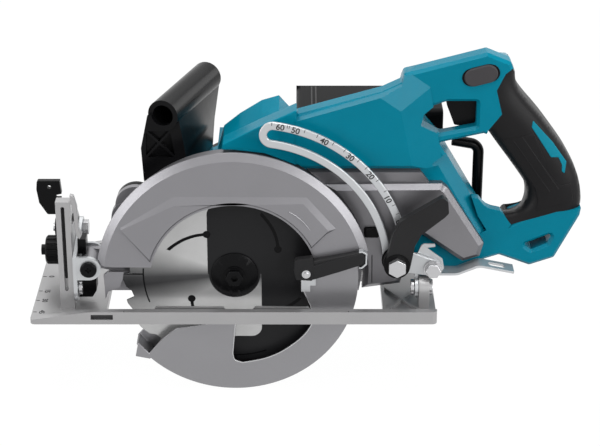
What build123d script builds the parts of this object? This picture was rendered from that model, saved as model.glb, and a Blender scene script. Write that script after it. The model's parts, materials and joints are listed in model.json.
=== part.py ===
"""A rear-handle cordless circular saw, blade on the near side, motor and battery on the far side.

X runs back along the cut, Y runs from the blade side to the motor side, and Z is up.
The origin is on the sole, in the cut plane, straight below the depth pivot.
"""

import os
from math import atan2, cos, degrees, hypot, pi, radians, sin, sqrt, tan

from build123d import *

os.makedirs("parts", exist_ok=True)

# Blade and cut
blade_d = 185.0
blade_t = 1.6
blade_teeth = 24
gullet_depth = 7.0
arbor_z = 30.0
blade_r = blade_d / 2

# Fits
running_gap = 0.05
slide_gap = 0.35

# Blade guards
guard_gap = 6.8
guard_wall = 2.0
guard_near_y = -10.5
guard_side_t = 1.5
guard_far_y = 6.0
lower_r = blade_r + guard_gap + guard_wall
rim_gap = 0.6
rim_in_r = lower_r + rim_gap
rim_wall = 2.6
rim_r = rim_in_r + rim_wall
face_y = -17.0
face_t = 2.5
face_r = rim_r + 1.5
flare_r = face_r + 6.0
flare_back = 3.6
window_share = 0.7384
window_r = window_share * blade_r
web_y = 12.0
web_t = 3.0
body_y = web_y + web_t

# Depth pivot, arbor and depth clamp
pivot_z = 41.0
pivot_to_rim = 13.5
pivot_pin_r = 4.0
barrel_r = 8.0
arbor_x = rim_r + pivot_to_rim
clamp_dx = 132.0
clamp_dz = 16.4
clamp_x = arbor_x + clamp_dx
clamp_z = arbor_z + clamp_dz
clamp_bolt_r = 3.0
depth_swing = 30.0
guide_ratio = -0.55

# Base
plate_t = 4.0
rail_h = 11.0
rail_w = 6.0
base_front = -47.5
base_near = -32.5
base_width = 140.0
base_corner_r = 4.0
slot_near = -19.0
slot_far = 47.0
slot_gap = 3.0
slot_lip_w = 2.5
slot_lip_h = 3.0
fence_slot_w = 18.0
fence_slot_h = 4.5
fence_slot_x = 11.0
base_far = base_near + base_width

# Bevel axis, quadrant and carriage
bevel_y = -4.0
bevel_z = 20.0
bevel_swing = 50.0
bevel_pin_r = 4.0
lug_r = 10.0
lug_t = 8.5
bracket_t = 3.0
quadrant_t = 11.4
quadrant_r = 66.0
post_w = 10.0
post_top = 99.0
groove_l = 75.0
quadrant_near_y = -12.0
bevel_bolt_r = 3.5
bevel_bolt_dy = 49.0
bevel_bolt_dz = 32.0
ear_r = 10.0
bracket_x = -12.7
quadrant_x = bracket_x - slide_gap - quadrant_t
bevel_bolt_y = bevel_y + bevel_bolt_dy
bevel_bolt_z = bevel_z + bevel_bolt_dz
near_ear_y = -14.5
far_ear_y = body_y + slide_gap

# Rear bracket and depth guide, clear of the side cover
cover_t = 11.0
cover_y = body_y - cover_t
cover_gap = 1.0
rear_gap = 15.5
rear_x = clamp_x + rear_gap
guide_pivot_x = rear_x + 14.5
guide_pivot_z = arbor_z + 8.0
guide_bolt_r = 3.5
guide_t = 3.0
guide_y = -7.0
guide_slot_w = 9.2
guide_strip_w = 6.3
guide_spare = 14.7
ear_plate_y = guide_y + guide_t + slide_gap
ear_web_w = cover_y - cover_gap - ear_plate_y
lug_x = rear_x + bracket_t + slide_gap
base_rear = lug_x + lug_t + 5.5
base_length = base_rear - base_front

# Drive train
gear_module = 0.9
pinion_teeth = 14
gear_teeth = 46
backlash = 0.14
addendum = 0.8
dedendum = 1.05
gear_w = 10.0
gear_y = 18.5
spindle_r = 7.5
tail_r = 4.0
bearing_r = 16.0
bearing_w = 9.0
small_bearing_r = 11.0
small_bearing_w = 7.0
flange_r = 19.4
flange_t = 4.0
bolt_head_af = 13.0
gear_wall = 3.5
case_depth = 23.0
shaft_gap = (pinion_teeth + gear_teeth) * gear_module / 2
gear_r = gear_teeth * gear_module / 2
motor_x = arbor_x
motor_z = arbor_z + shaft_gap
case_r = gear_r + gear_module + 1.0 + gear_wall
nose_r = 24.0
case_far_y = body_y + case_depth

# Motor
motor_r = 43.0
motor_wall = 3.5
motor_length = 80.0
stator_r = motor_r - motor_wall
air_gap = 0.6
rotor_r = 13.0
stack_length = 34.0
shaft_r = 4.0
fan_r = 33.0
fan_w = 9.0
cap_t = 10.0
motor_far_y = case_far_y + motor_length

# Handle body
shell_half = 20.0
shell_y = body_y + shell_half
shell_far_y = body_y + 2 * shell_half
shell_wall = 4.0
edge_r = 5.0
grip_skin = 3.0
trigger_w = 18.0
lock_l = 27.0
lock_h = 15.0
lock_proud = 2.0
lock_pin_r = 4.0
lock_travel = 3.2
crown_back = 15.0
panel_t = 10.0

# Battery
battery_l = 122.0
battery_w = 65.0
battery_h = 80.0
battery_r = 6.0
rail_depth = 11.0
foot_w = 46.0
foot_lip = 4.0
foot_t = 3.5
battery_travel = 24.0

# Rafter hook
hook_r = 4.5
hook_reach = 63.0
hook_run = 54.0
hook_tip = 22.0
hook_gap = 2.5

handle_bar_r = 12.8
handle_bore_r = 8.6
screw_r = 2.0
screw_head_r = 3.6


def side(y):
    """The upright plane at depth y, seen from the blade side: local x is X and local y is Z."""
    return Plane.XZ.offset(-y)


def across(x):
    """The upright plane at length x: local x is Y and local y is Z."""
    return Plane.YZ.offset(x)


def at(x, z):
    """A place on the saw body, measured from the arbor."""
    return (arbor_x + x, arbor_z + z)


def polar(r, angle):
    """A place on the saw body at a radius and an angle from the arbor."""
    return at(r * cos(radians(angle)), r * sin(radians(angle)))


def spoke(angle):
    """The plane through the arbor's axis at an angle: local x is the radius and local y is Y."""
    c, s = cos(radians(angle)), sin(radians(angle))
    return Plane(origin=(arbor_x, 0, arbor_z), x_dir=(c, 0, s), z_dir=(-s, 0, c))


def turned(point, centre, angle):
    """A point of the side view, turned anticlockwise about a centre."""
    c, s = cos(radians(angle)), sin(radians(angle))
    x, z = point[0] - centre[0], point[1] - centre[1]
    return (centre[0] + x * c - z * s, centre[1] + x * s + z * c)


def circle_through(a, b, c):
    """The centre and radius of the circle through three points."""
    d = 2 * (a[0] * (b[1] - c[1]) + b[0] * (c[1] - a[1]) + c[0] * (a[1] - b[1]))
    sa, sb, sc = (p[0] ** 2 + p[1] ** 2 for p in (a, b, c))
    x = (sa * (b[1] - c[1]) + sb * (c[1] - a[1]) + sc * (a[1] - b[1])) / d
    z = (sa * (c[0] - b[0]) + sb * (a[0] - c[0]) + sc * (b[0] - a[0])) / d
    return (x, z), hypot(a[0] - x, a[1] - z)


def curved_slot(first_r, last_r, first, last, width):
    """The outline of a slot about the origin, between two angles, its radius going from one to another."""
    spots = [(first_r + (last_r - first_r) * step / 9, first + (last - first) * step / 9) for step in range(10)]
    outer = [((r + width / 2) * cos(radians(a)), (r + width / 2) * sin(radians(a))) for r, a in spots]
    inner = [((r - width / 2) * cos(radians(a)), (r - width / 2) * sin(radians(a))) for r, a in spots]
    return outer + inner[::-1]


def gear_points(teeth, turn):
    """The outline of an involute spur gear with a tooth at the angle turn."""
    pitch_r = teeth * gear_module / 2
    base_r = pitch_r * cos(radians(20))
    tip_r = pitch_r + addendum * gear_module
    root_r = pitch_r - dedendum * gear_module
    half = (pi / 2 - backlash / gear_module) / teeth + tan(radians(20)) - radians(20)
    flank = [(root_r, half)]
    for step in range(4):
        r = max(base_r, root_r) + (tip_r - max(base_r, root_r)) * step / 3
        roll = sqrt(max((r / base_r) ** 2 - 1, 0))
        flank.append((r, half - (roll - atan2(roll, 1))))
    points = []
    for tooth in range(teeth):
        middle = radians(turn) + 2 * pi * tooth / teeth
        points += [(r * cos(middle - a), r * sin(middle - a)) for r, a in flank]
        points += [(r * cos(middle + a), r * sin(middle + a)) for r, a in reversed(flank)]
    return points


# Base plate with its rails, blade slot, rip fence slots and rear hinge lug
slot_front_x = arbor_x - lower_r - slot_gap
slot_rear_x = arbor_x + lower_r + slot_gap + 17.0
rail_taper_x = 0.0
with BuildPart() as base_plate:
    with BuildSketch(Plane.XY):
        with Locations((base_front + base_length / 2, base_near + base_width / 2)):
            Rectangle(base_length, base_width)
        with Locations(((slot_front_x + slot_rear_x) / 2, (slot_near + slot_far) / 2)):
            Rectangle(slot_rear_x - slot_front_x, slot_far - slot_near, mode=Mode.SUBTRACT)
    extrude(amount=plate_t)
    for rail_far_y in (base_near + rail_w, base_far):
        with BuildSketch(side(rail_far_y)):
            Polygon(
                (base_front, 0), (base_rear, 0), (base_rear, rail_h),
                (rail_taper_x, rail_h), (base_front, plate_t), align=None,
            )
        extrude(amount=rail_w)
    with BuildSketch(side(base_far + 1)):
        with Locations((fence_slot_x, plate_t + fence_slot_h / 2)):
            Rectangle(fence_slot_w, fence_slot_h)
    extrude(amount=base_width + 2, mode=Mode.SUBTRACT)
    with BuildSketch(Plane.XY):
        with Locations((base_front + base_length / 2, base_near + base_width / 2)):
            RectangleRounded(base_length, base_width, base_corner_r)
    extrude(amount=rail_h, mode=Mode.INTERSECT)
    with BuildSketch(Plane.XY.offset(plate_t)):
        with Locations(((slot_rear_x + base_rear) / 2 - 5, base_near + 0.25 * base_width)):
            Rectangle(2.5, 0.36 * base_width, rotation=32)
            Rectangle(2.5, 0.36 * base_width, rotation=-32)
        for rib_y in (base_far - 0.18 * base_width, base_far - 0.3 * base_width):
            with Locations(((slot_front_x + slot_rear_x) / 2, rib_y)):
                Rectangle(slot_rear_x - slot_front_x, 2.5)
    extrude(amount=2.5)
    with BuildSketch(Plane.XY.offset(plate_t)):
        with Locations(((slot_front_x + slot_rear_x) / 2, (slot_near + slot_far) / 2)):
            Rectangle(slot_rear_x - slot_front_x + 2 * slot_lip_w, slot_far - slot_near + 2 * slot_lip_w)
            Rectangle(slot_rear_x - slot_front_x, slot_far - slot_near, mode=Mode.SUBTRACT)
    extrude(amount=slot_lip_h)
    with BuildSketch(across(lug_x)):
        with Locations((bevel_y, bevel_z)):
            Circle(lug_r)
        with Locations((bevel_y, (plate_t + bevel_z) / 2)):
            Rectangle(2 * lug_r, bevel_z - plate_t)
    extrude(amount=lug_t)
    with BuildSketch(across(lug_x)):
        with Locations((bevel_y, bevel_z)):
            Circle(bevel_pin_r)
    extrude(amount=lug_t, mode=Mode.SUBTRACT)
    for foot_y in (quadrant_near_y + 10, bevel_bolt_y + 10):
        with Locations(Location((quadrant_x + quadrant_t / 2, foot_y, 0), (180, 0, 0))):
            CounterBoreHole(radius=2.6, counter_bore_radius=4.6, counter_bore_depth=2.6)
base_plate.part.label = "base_plate"
export_step(base_plate.part, "parts/base_plate.step")

# Bevel quadrant: an upright plate with an arc slot about the bevel axis and a grooved near edge
bolt_arc_r = hypot(bevel_bolt_dy, bevel_bolt_dz)
bolt_angle = degrees(atan2(bevel_bolt_dz, bevel_bolt_dy))
dial_y = bevel_bolt_y
dial_z = bevel_bolt_z - 21.0
dial_pin_r = 3.0
bolt_arc = CenterArc((bevel_y, bevel_z), bolt_arc_r, bolt_angle - 2, bevel_swing + 4)
with BuildPart() as bevel_quadrant:
    with BuildSketch(across(quadrant_x)) as quadrant_face:
        with Locations((bevel_y, bevel_z)):
            Circle(quadrant_r)
        with Locations((quadrant_near_y, plate_t)):
            Rectangle(2 * quadrant_r, 2 * quadrant_r, align=(Align.MIN, Align.MIN), mode=Mode.INTERSECT)
        with Locations((quadrant_near_y, plate_t)):
            Rectangle(post_w, post_top - plate_t, align=(Align.MIN, Align.MIN))
        SlotArc(bolt_arc, 2 * bevel_bolt_r + 1.0, mode=Mode.SUBTRACT)
        with Locations((bevel_y, bevel_z)):
            Circle(bevel_pin_r + running_gap, mode=Mode.SUBTRACT)
        with Locations((dial_y, dial_z)):
            Circle(dial_pin_r + running_gap, mode=Mode.SUBTRACT)
    extrude(amount=quadrant_t)
    with BuildSketch(side(quadrant_near_y + 4)):
        with Locations((quadrant_x + quadrant_t / 2, post_top - 4.0)):
            with Locations((0, -groove_l / 2)):
                SlotOverall(groove_l, 3.0, rotation=90)
    extrude(amount=4.0, mode=Mode.SUBTRACT)
    for foot_y in (quadrant_near_y + 10, bevel_bolt_y + 10):
        with Locations(Location((quadrant_x + quadrant_t / 2, foot_y, plate_t), (180, 0, 0))):
            Hole(radius=2.5, depth=14)
bevel_quadrant.part.label = "bevel_quadrant"
export_step(bevel_quadrant.part, "parts/bevel_quadrant.step")

# Screws that hold the quadrant to the base
with BuildPart() as quadrant_screws:
    for foot_y in (quadrant_near_y + 10, bevel_bolt_y + 10):
        with Locations((quadrant_x + quadrant_t / 2, foot_y, 0.3)):
            Cylinder(4.4, 2.3, align=(Align.CENTER, Align.CENTER, Align.MIN))
            Cylinder(2.4, 15, align=(Align.CENTER, Align.CENTER, Align.MIN))
quadrant_screws.part.label = "quadrant_screws"
export_step(quadrant_screws.part, "parts/quadrant_screws.step")

# Front bracket: the carriage's plate on the quadrant, with two ears for the depth pivot
with BuildPart() as front_bracket:
    with BuildSketch(across(bracket_x)):
        with Locations((bevel_y, bevel_z)):
            Circle(lug_r + 1)
        with Locations((bevel_bolt_y, bevel_bolt_z)):
            Circle(9)
        with Locations((near_ear_y, pivot_z - ear_r)):
            Rectangle(far_ear_y + bracket_t - near_ear_y, 2 * ear_r, align=(Align.MIN, Align.MIN))
        make_hull()
        with Locations((bevel_y, bevel_z)):
            Circle(bevel_pin_r + running_gap, mode=Mode.SUBTRACT)
        with Locations((bevel_bolt_y, bevel_bolt_z)):
            Circle(bevel_bolt_r, mode=Mode.SUBTRACT)
    extrude(amount=bracket_t)
    for ear_far_y in (near_ear_y + bracket_t, far_ear_y + bracket_t):
        with BuildSketch(side(ear_far_y)):
            with Locations((0, pivot_z)):
                Circle(ear_r)
            with Locations((bracket_x, pivot_z)):
                Rectangle(-bracket_x, 2 * ear_r, align=(Align.MIN, Align.CENTER))
            with Locations((0, pivot_z)):
                Circle(pivot_pin_r, mode=Mode.SUBTRACT)
        extrude(amount=bracket_t)
front_bracket.part.label = "front_bracket"
export_step(front_bracket.part, "parts/front_bracket.step")

# Depth pivot screw through the two ears
with BuildPart() as pivot_screw:
    with BuildSketch(side(far_ear_y + bracket_t + 3)):
        with Locations((0, pivot_z)):
            Circle(pivot_pin_r)
    extrude(amount=far_ear_y + bracket_t + 3 - near_ear_y)
    with BuildSketch(side(near_ear_y)):
        with Locations((0, pivot_z)):
            Circle(1.7 * pivot_pin_r)
    extrude(amount=3.2)
    fillet(pivot_screw.edges().sort_by(Axis.Y)[0], 1.6)
    with BuildSketch(side(near_ear_y - 3.2)):
        with Locations((0, pivot_z)):
            Rectangle(1.2 * pivot_pin_r, 1.3)
            Rectangle(1.3, 1.2 * pivot_pin_r)
    extrude(amount=-1.8, mode=Mode.SUBTRACT)
pivot_screw.part.label = "pivot_screw"
export_step(pivot_screw.part, "parts/pivot_screw.step")

# Bevel hinge pins, one through the quadrant and one through the rear lug
with BuildPart() as bevel_pins:
    with BuildSketch(across(quadrant_x - 0.2)):
        with Locations((bevel_y, bevel_z)):
            Circle(bevel_pin_r)
    extrude(amount=quadrant_t + slide_gap + bracket_t + 0.2)
    with BuildSketch(across(bracket_x + bracket_t + 0.3)):
        with Locations((bevel_y, bevel_z)):
            Circle(bevel_pin_r)
    extrude(amount=-0.3)
    with BuildSketch(across(bracket_x + bracket_t + 0.3)):
        with Locations((bevel_y, bevel_z)):
            Circle(6.5)
    extrude(amount=3.0)
    with BuildSketch(across(rear_x)):
        with Locations((bevel_y, bevel_z)):
            Circle(bevel_pin_r)
    extrude(amount=bracket_t + slide_gap + lug_t + 0.3)
    with BuildSketch(across(lug_x + lug_t)):
        with Locations((bevel_y, bevel_z)):
            Circle(6.5)
    extrude(amount=3.0)
    with BuildSketch(across(rear_x - 0.3)):
        with Locations((bevel_y, bevel_z)):
            Circle(6.5)
    extrude(amount=-3.0)
    with BuildSketch(across(rear_x - 0.3)):
        with Locations((bevel_y, bevel_z)):
            Circle(bevel_pin_r)
    extrude(amount=0.3)
bevel_pins.part.label = "bevel_pins"
export_step(bevel_pins.part, "parts/bevel_pins.step")

# Bevel clamp bolt, fixed in the front bracket and free in the quadrant's slot
lever_hub_l = 8.0
lever_x = quadrant_x - slide_gap - lever_hub_l
with BuildPart() as bevel_clamp_bolt:
    with BuildSketch(across(lever_x - 2.0)):
        with Locations((bevel_bolt_y, bevel_bolt_z)):
            Circle(bevel_bolt_r)
    extrude(amount=bracket_x + bracket_t - lever_x + 2.0)
    with BuildSketch(across(bracket_x + bracket_t)):
        with Locations((bevel_bolt_y, bevel_bolt_z)):
            RegularPolygon(6.4, 6)
    extrude(amount=4.5)
bevel_clamp_bolt.part.label = "bevel_clamp_bolt"
export_step(bevel_clamp_bolt.part, "parts/bevel_clamp_bolt.step")

# Bevel lock lever: a hub, a slim stem and a flag-shaped paddle with a hole and a notch
flag_t = 5.0
flag_x = lever_x + 2.0
with BuildPart() as bevel_lock_lever:
    with BuildSketch(across(lever_x)):
        with Locations((bevel_bolt_y, bevel_bolt_z)):
            Circle(8.0)
            Circle(bevel_bolt_r + running_gap, mode=Mode.SUBTRACT)
    extrude(amount=lever_hub_l)
    with BuildSketch(side(bevel_bolt_y + flag_t / 2)) as flag:
        Polygon(
            (flag_x, bevel_bolt_z + 7), (flag_x + 4, bevel_bolt_z + 7), (flag_x + 4, bevel_bolt_z + 27),
            (flag_x, bevel_bolt_z + 27), (flag_x, bevel_bolt_z + 30), (flag_x + 4.5, bevel_bolt_z + 31),
            (flag_x + 3.5, bevel_bolt_z + 42.5), (flag_x - 15.5, bevel_bolt_z + 42.5),
            (flag_x - 16.2, bevel_bolt_z + 35), (flag_x - 14.5, bevel_bolt_z + 23),
            (flag_x - 8, bevel_bolt_z + 12.5), (flag_x, bevel_bolt_z + 12.5), align=None,
        )
        with Locations((flag_x - 5.5, bevel_bolt_z + 37)):
            Circle(1.6, mode=Mode.SUBTRACT)
    extrude(amount=flag_t)
    fillet(bevel_lock_lever.edges().filter_by(Axis.Y).filter_by(lambda e: e.center().Z > bevel_bolt_z + 12
           and e.center().X < flag_x - 5 and e.length > 1), 1.5)
bevel_lock_lever.part.label = "bevel_lock_lever"
export_step(bevel_lock_lever.part, "parts/bevel_lock_lever.step")

# Bevel stop dial, a ribbed knob turning on a pin in the quadrant
dial_r = 12.3
dial_l = 17.0
dial_nub = 4.0
with BuildPart() as bevel_stop_dial:
    with BuildSketch(across(quadrant_x - slide_gap)):
        with Locations((dial_y, dial_z)):
            Circle(dial_r)
    extrude(amount=-dial_l)
    chamfer(bevel_stop_dial.edges().sort_by(Axis.X)[0], 1.5)
    with BuildSketch(across(quadrant_x - slide_gap - dial_l)):
        with Locations((dial_y, dial_z)):
            with PolarLocations(dial_r, 16):
                Circle(0.9)
    extrude(amount=dial_l - 2.0, mode=Mode.SUBTRACT)
    with BuildSketch(across(quadrant_x - slide_gap)):
        with Locations((dial_y, dial_z)):
            Circle(dial_pin_r)
    extrude(amount=quadrant_t - 1.0)
    with BuildSketch(across(quadrant_x - slide_gap - dial_l)):
        with Locations((dial_y, dial_z)):
            Circle(4.5)
    extrude(amount=-dial_nub)
bevel_stop_dial.part.label = "bevel_stop_dial"
export_step(bevel_stop_dial.part, "parts/bevel_stop_dial.step")

# Rear bracket: an upright hinge plate, an ear for the depth guide and a bent tail with a hanging slot
ear_low = bevel_z + lug_r + 1.0
tail_z = ear_low + 1.0
tail_near_y = ear_plate_y
tail_w = 14.5
tail_reach = 67.0
ear_far_y = ear_plate_y + bracket_t
with BuildPart() as rear_bracket:
    with BuildSketch(across(rear_x)):
        with Locations((bevel_y, bevel_z)):
            Circle(lug_r - 1.5)
        with Locations((ear_plate_y, bevel_z)):
            Rectangle(ear_web_w, guide_pivot_z + ear_r - bevel_z, align=(Align.MIN, Align.MIN))
        with Locations((bevel_y, bevel_z)):
            Circle(bevel_pin_r + running_gap, mode=Mode.SUBTRACT)
    extrude(amount=bracket_t)
    with BuildSketch(side(ear_far_y)):
        with Locations((guide_pivot_x, guide_pivot_z)):
            Circle(guide_pivot_z - ear_low)
        with Locations((rear_x, ear_low)):
            Rectangle(guide_pivot_x - rear_x, 2 * (guide_pivot_z - ear_low), align=(Align.MIN, Align.MIN))
        with Locations((guide_pivot_x, guide_pivot_z)):
            Circle(guide_bolt_r, mode=Mode.SUBTRACT)
    extrude(amount=bracket_t)
    with BuildSketch(side(tail_near_y + tail_w)):
        with BuildLine():
            tail = FilletPolyline(
                (guide_pivot_x + 1, tail_z), (guide_pivot_x + 20, tail_z), (guide_pivot_x + 38, tail_z + 7.5),
                (guide_pivot_x + tail_reach, tail_z + 1.5), radius=12,
            )
            offset(tail, amount=2.0, side=Side.RIGHT)
        make_face()
    extrude(amount=tail_w)
    with BuildSketch(Plane.XY.offset(tail_z - 10)):
        with Locations((guide_pivot_x + tail_reach - 14, tail_near_y + tail_w / 2)):
            SlotOverall(14, 6)
    extrude(amount=20, mode=Mode.SUBTRACT)
rear_bracket.part.label = "rear_bracket"
export_step(rear_bracket.part, "parts/rear_bracket.step")

# Depth guide: a slotted arc that swings on the rear bracket, its slot following the clamp bolt
clamp_point = (clamp_x, clamp_z)
guide_pivot = (guide_pivot_x, guide_pivot_z)
slot_path = [
    turned(turned(clamp_point, (0, pivot_z), depth_swing * share), guide_pivot, -guide_ratio * depth_swing * share)
    for share in (0, 0.5, 1)
]
slot_centre, slot_r = circle_through(*slot_path)
slot_angles = [degrees(atan2(p[1] - slot_centre[1], p[0] - slot_centre[0])) for p in slot_path]
slot_start = slot_angles[0] - 0.3
slot_size = slot_angles[2] + guide_spare - slot_start
guide_arc = CenterArc(slot_centre, slot_r, slot_start, slot_size)
guide_width = guide_slot_w + 2 * guide_strip_w
with BuildPart() as depth_guide:
    with BuildSketch(side(guide_y + guide_t)):
        with Locations(guide_pivot):
            Circle(guide_pivot_z - ear_low)
        with Locations((slot_centre[0] + slot_r * cos(radians(slot_start)),
                        slot_centre[1] + slot_r * sin(radians(slot_start)))):
            Circle(guide_width / 2)
        make_hull()
        SlotArc(guide_arc, guide_width)
        SlotArc(guide_arc, guide_slot_w, mode=Mode.SUBTRACT)
        with Locations(guide_pivot):
            Circle(guide_bolt_r + running_gap, mode=Mode.SUBTRACT)
    extrude(amount=guide_t)
depth_guide.part.label = "depth_guide"
export_step(depth_guide.part, "parts/depth_guide.step")

# Hex bolt that the depth guide swings on
with BuildPart() as guide_pivot_bolt:
    with BuildSketch(side(ear_far_y + 3)):
        with Locations(guide_pivot):
            Circle(guide_bolt_r)
    extrude(amount=ear_far_y + 3 - guide_y + slide_gap)
    with BuildSketch(side(guide_y - slide_gap)):
        with Locations(guide_pivot):
            Circle(7.5)
    extrude(amount=1.2)
    with BuildSketch(side(guide_y - slide_gap - 1.2)):
        with Locations(guide_pivot):
            RegularPolygon(6.6, 6)
    extrude(amount=5.0)
    fillet(guide_pivot_bolt.faces().sort_by(Axis.Y)[0].edges(), 0.8)
    with BuildSketch(side(ear_far_y + 4.5)):
        with Locations(guide_pivot):
            RegularPolygon(6.2, 6)
    extrude(amount=4.5)
guide_pivot_bolt.part.label = "guide_pivot_bolt"
export_step(guide_pivot_bolt.part, "parts/guide_pivot_bolt.step")

# Upper blade guard: near face with window and raised panel, flared edge, rim, far wall, lobe and pivot barrel
lobe = polar(rim_r - 6.3, 144.5)
lobe_r = 16.5
lobe_t = 6.0
handle_screw = polar(rim_in_r - 8.0, 122.3)
rim_start = 14.0
rim_end = 172.0
rim_sweep = rim_end - rim_start
panel_r = window_r + 1.5
ridge_h = 1.6
web_low = plate_t + 5.0
face_low = 13.8
face_edge_x = -window_r + 14.0
arm_root = polar(rim_r - 9.2, 175.2)
arbor_axis = Axis((arbor_x, 0, arbor_z), (0, -1, 0))
with BuildPart() as upper_guard:
    with BuildSketch(spoke(rim_start)):
        Polygon(
            (window_r, face_y), (face_r, face_y), (flare_r, face_y + flare_back),
            (flare_r, face_y + flare_back + 1.6), (rim_r, face_y + face_t + 1.0), (rim_r, body_y),
            (rim_in_r, body_y), (rim_in_r, face_y + face_t), (window_r, face_y + face_t), align=None,
        )
    revolve(axis=arbor_axis, revolution_arc=rim_sweep)
    with BuildSketch(side(body_y)):
        Polygon(
            at(-2 * rim_r, face_low), at(face_edge_x, face_low), at(face_edge_x, -rim_r), at(-2 * rim_r, -rim_r),
            align=None,
        )
    extrude(amount=body_y - face_y + 1, mode=Mode.SUBTRACT)
    with BuildSketch(side(face_y)):
        with BuildLine():
            Polyline(
                polar(panel_r, 165), polar(face_r - 3.1, 151.6), polar(face_r - 16.5, 121.7),
                polar(face_r - 10.2, 52.0), polar(face_r - 10.5, 30.2), polar(face_r - 20.0, 30.0),
                polar(panel_r, 26),
            )
            CenterArc((arbor_x, arbor_z), panel_r, 26, 139)
        make_face()
    extrude(amount=ridge_h, taper=40)
    with BuildSketch(side(body_y)):
        with Locations((arbor_x, arbor_z)):
            Circle(rim_r)
        with Locations((arbor_x, web_low)):
            Rectangle(2.2 * rim_r, 2 * rim_r, align=(Align.CENTER, Align.MIN), mode=Mode.INTERSECT)
        with Locations((arbor_x, arbor_z)):
            Circle(nose_r, mode=Mode.SUBTRACT)
        with Locations(handle_screw):
            Circle(screw_r, mode=Mode.SUBTRACT)
    extrude(amount=web_t)
    with BuildSketch(side(body_y)):
        with Locations(lobe):
            Circle(lobe_r)
    extrude(amount=lobe_t)
    for end, end_r in (((0, pivot_z), barrel_r), (polar(rim_r - 4.5, 151.4), 12.0)):
        with BuildSketch(side(body_y)):
            with Locations(end):
                Circle(end_r)
            with Locations(arm_root):
                Circle(10.0)
            make_hull()
        extrude(amount=body_y - guard_far_y - guard_side_t - 0.8)
    with BuildSketch(side(body_y)):
        with Locations((0, pivot_z)):
            Circle(barrel_r)
    extrude(amount=body_y - near_ear_y - bracket_t - slide_gap)
    with BuildSketch(side(near_ear_y + bracket_t + slide_gap)):
        with Locations((0, pivot_z)):
            Circle(ear_r + 1.5)
    extrude(amount=2 * bracket_t, mode=Mode.SUBTRACT)
    with BuildSketch(side(body_y)):
        with Locations((0, pivot_z)):
            Circle(pivot_pin_r + running_gap)
    extrude(amount=body_y - near_ear_y, mode=Mode.SUBTRACT)
upper_guard.part.label = "upper_guard"
export_step(upper_guard.part, "parts/upper_guard.step")

# Bearing box: the nose that carries the spindle bearing and the lower guard's hub
nose_y = guard_far_y - 1.5
with BuildPart() as bearing_box:
    with BuildSketch(side(body_y)):
        with Locations((arbor_x, arbor_z)):
            Circle(nose_r)
            Circle(bearing_r, mode=Mode.SUBTRACT)
    extrude(amount=body_y - nose_y)
    with BuildSketch(side(nose_y + 1.0)):
        with Locations((arbor_x, arbor_z)):
            Circle(nose_r)
            Circle(bearing_r - 3.0, mode=Mode.SUBTRACT)
    extrude(amount=1.0)
bearing_box.part.label = "bearing_box"
export_step(bearing_box.part, "parts/bearing_box.step")

# Bearings, each a ring: spindle front and rear, motor front and rear
bearing_y = nose_y + 1.0
rear_bearing_y = case_far_y - small_bearing_w
cap_far_y = motor_far_y + cap_t
end_bearing_y = motor_far_y
with BuildPart() as spindle_bearings:
    for place_y, outer, inner, width in (
        (bearing_y, bearing_r, spindle_r, bearing_w),
        (rear_bearing_y, small_bearing_r, tail_r, small_bearing_w),
    ):
        with BuildSketch(side(place_y + width)):
            with Locations((arbor_x, arbor_z)):
                Circle(outer)
                Circle(inner + running_gap, mode=Mode.SUBTRACT)
        extrude(amount=width)
spindle_bearings.part.label = "spindle_bearings"
export_step(spindle_bearings.part, "parts/spindle_bearings.step")
with BuildPart() as motor_bearings:
    for place_y in (rear_bearing_y, end_bearing_y):
        with BuildSketch(side(place_y + small_bearing_w)):
            with Locations((motor_x, motor_z)):
                Circle(small_bearing_r)
                Circle(shaft_r + running_gap, mode=Mode.SUBTRACT)
        extrude(amount=small_bearing_w)
motor_bearings.part.label = "motor_bearings"
export_step(motor_bearings.part, "parts/motor_bearings.step")

# Gear case: a cup behind the guard that holds the gears, with bearing seats in its far wall
case_top_r = motor_r - 6.0
case_floor_y = rear_bearing_y - 1.5
with BuildPart() as gear_case:
    with BuildSketch(side(case_far_y)):
        with Locations((arbor_x, arbor_z)):
            Circle(case_r)
        with Locations((motor_x, motor_z)):
            Circle(case_top_r)
        make_hull()
    extrude(amount=case_depth)
    with BuildSketch(side(case_floor_y)):
        with Locations((arbor_x, arbor_z)):
            Circle(case_r - gear_wall)
        with Locations((motor_x, motor_z)):
            Circle(case_top_r - gear_wall)
        make_hull()
    extrude(amount=case_floor_y - body_y, mode=Mode.SUBTRACT)
    with BuildSketch(side(case_far_y)):
        with Locations((arbor_x, arbor_z), (motor_x, motor_z)):
            Circle(small_bearing_r)
    extrude(amount=small_bearing_w, mode=Mode.SUBTRACT)
    with BuildSketch(side(case_far_y)):
        with Locations((arbor_x, arbor_z), (motor_x, motor_z)):
            Circle(small_bearing_r - 2)
    extrude(amount=case_depth, mode=Mode.SUBTRACT)
gear_case.part.label = "gear_case"
export_step(gear_case.part, "parts/gear_case.step")

# Spindle, stepped, with a tapped nose
tap_r = 4.0
tap_depth = 16.0
spindle_y = -blade_t / 2 - 1.5
with BuildPart() as spindle:
    with BuildSketch(side(case_far_y)):
        with Locations((arbor_x, arbor_z)):
            Circle(tail_r)
    extrude(amount=case_far_y - gear_y)
    with BuildSketch(side(gear_y)):
        with Locations((arbor_x, arbor_z)):
            Circle(spindle_r)
    extrude(amount=gear_y - spindle_y)
    with BuildSketch(side(spindle_y)):
        with Locations((arbor_x, arbor_z)):
            Circle(tap_r)
    extrude(amount=-tap_depth, mode=Mode.SUBTRACT)
spindle.part.label = "spindle"
export_step(spindle.part, "parts/spindle.step")

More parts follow.
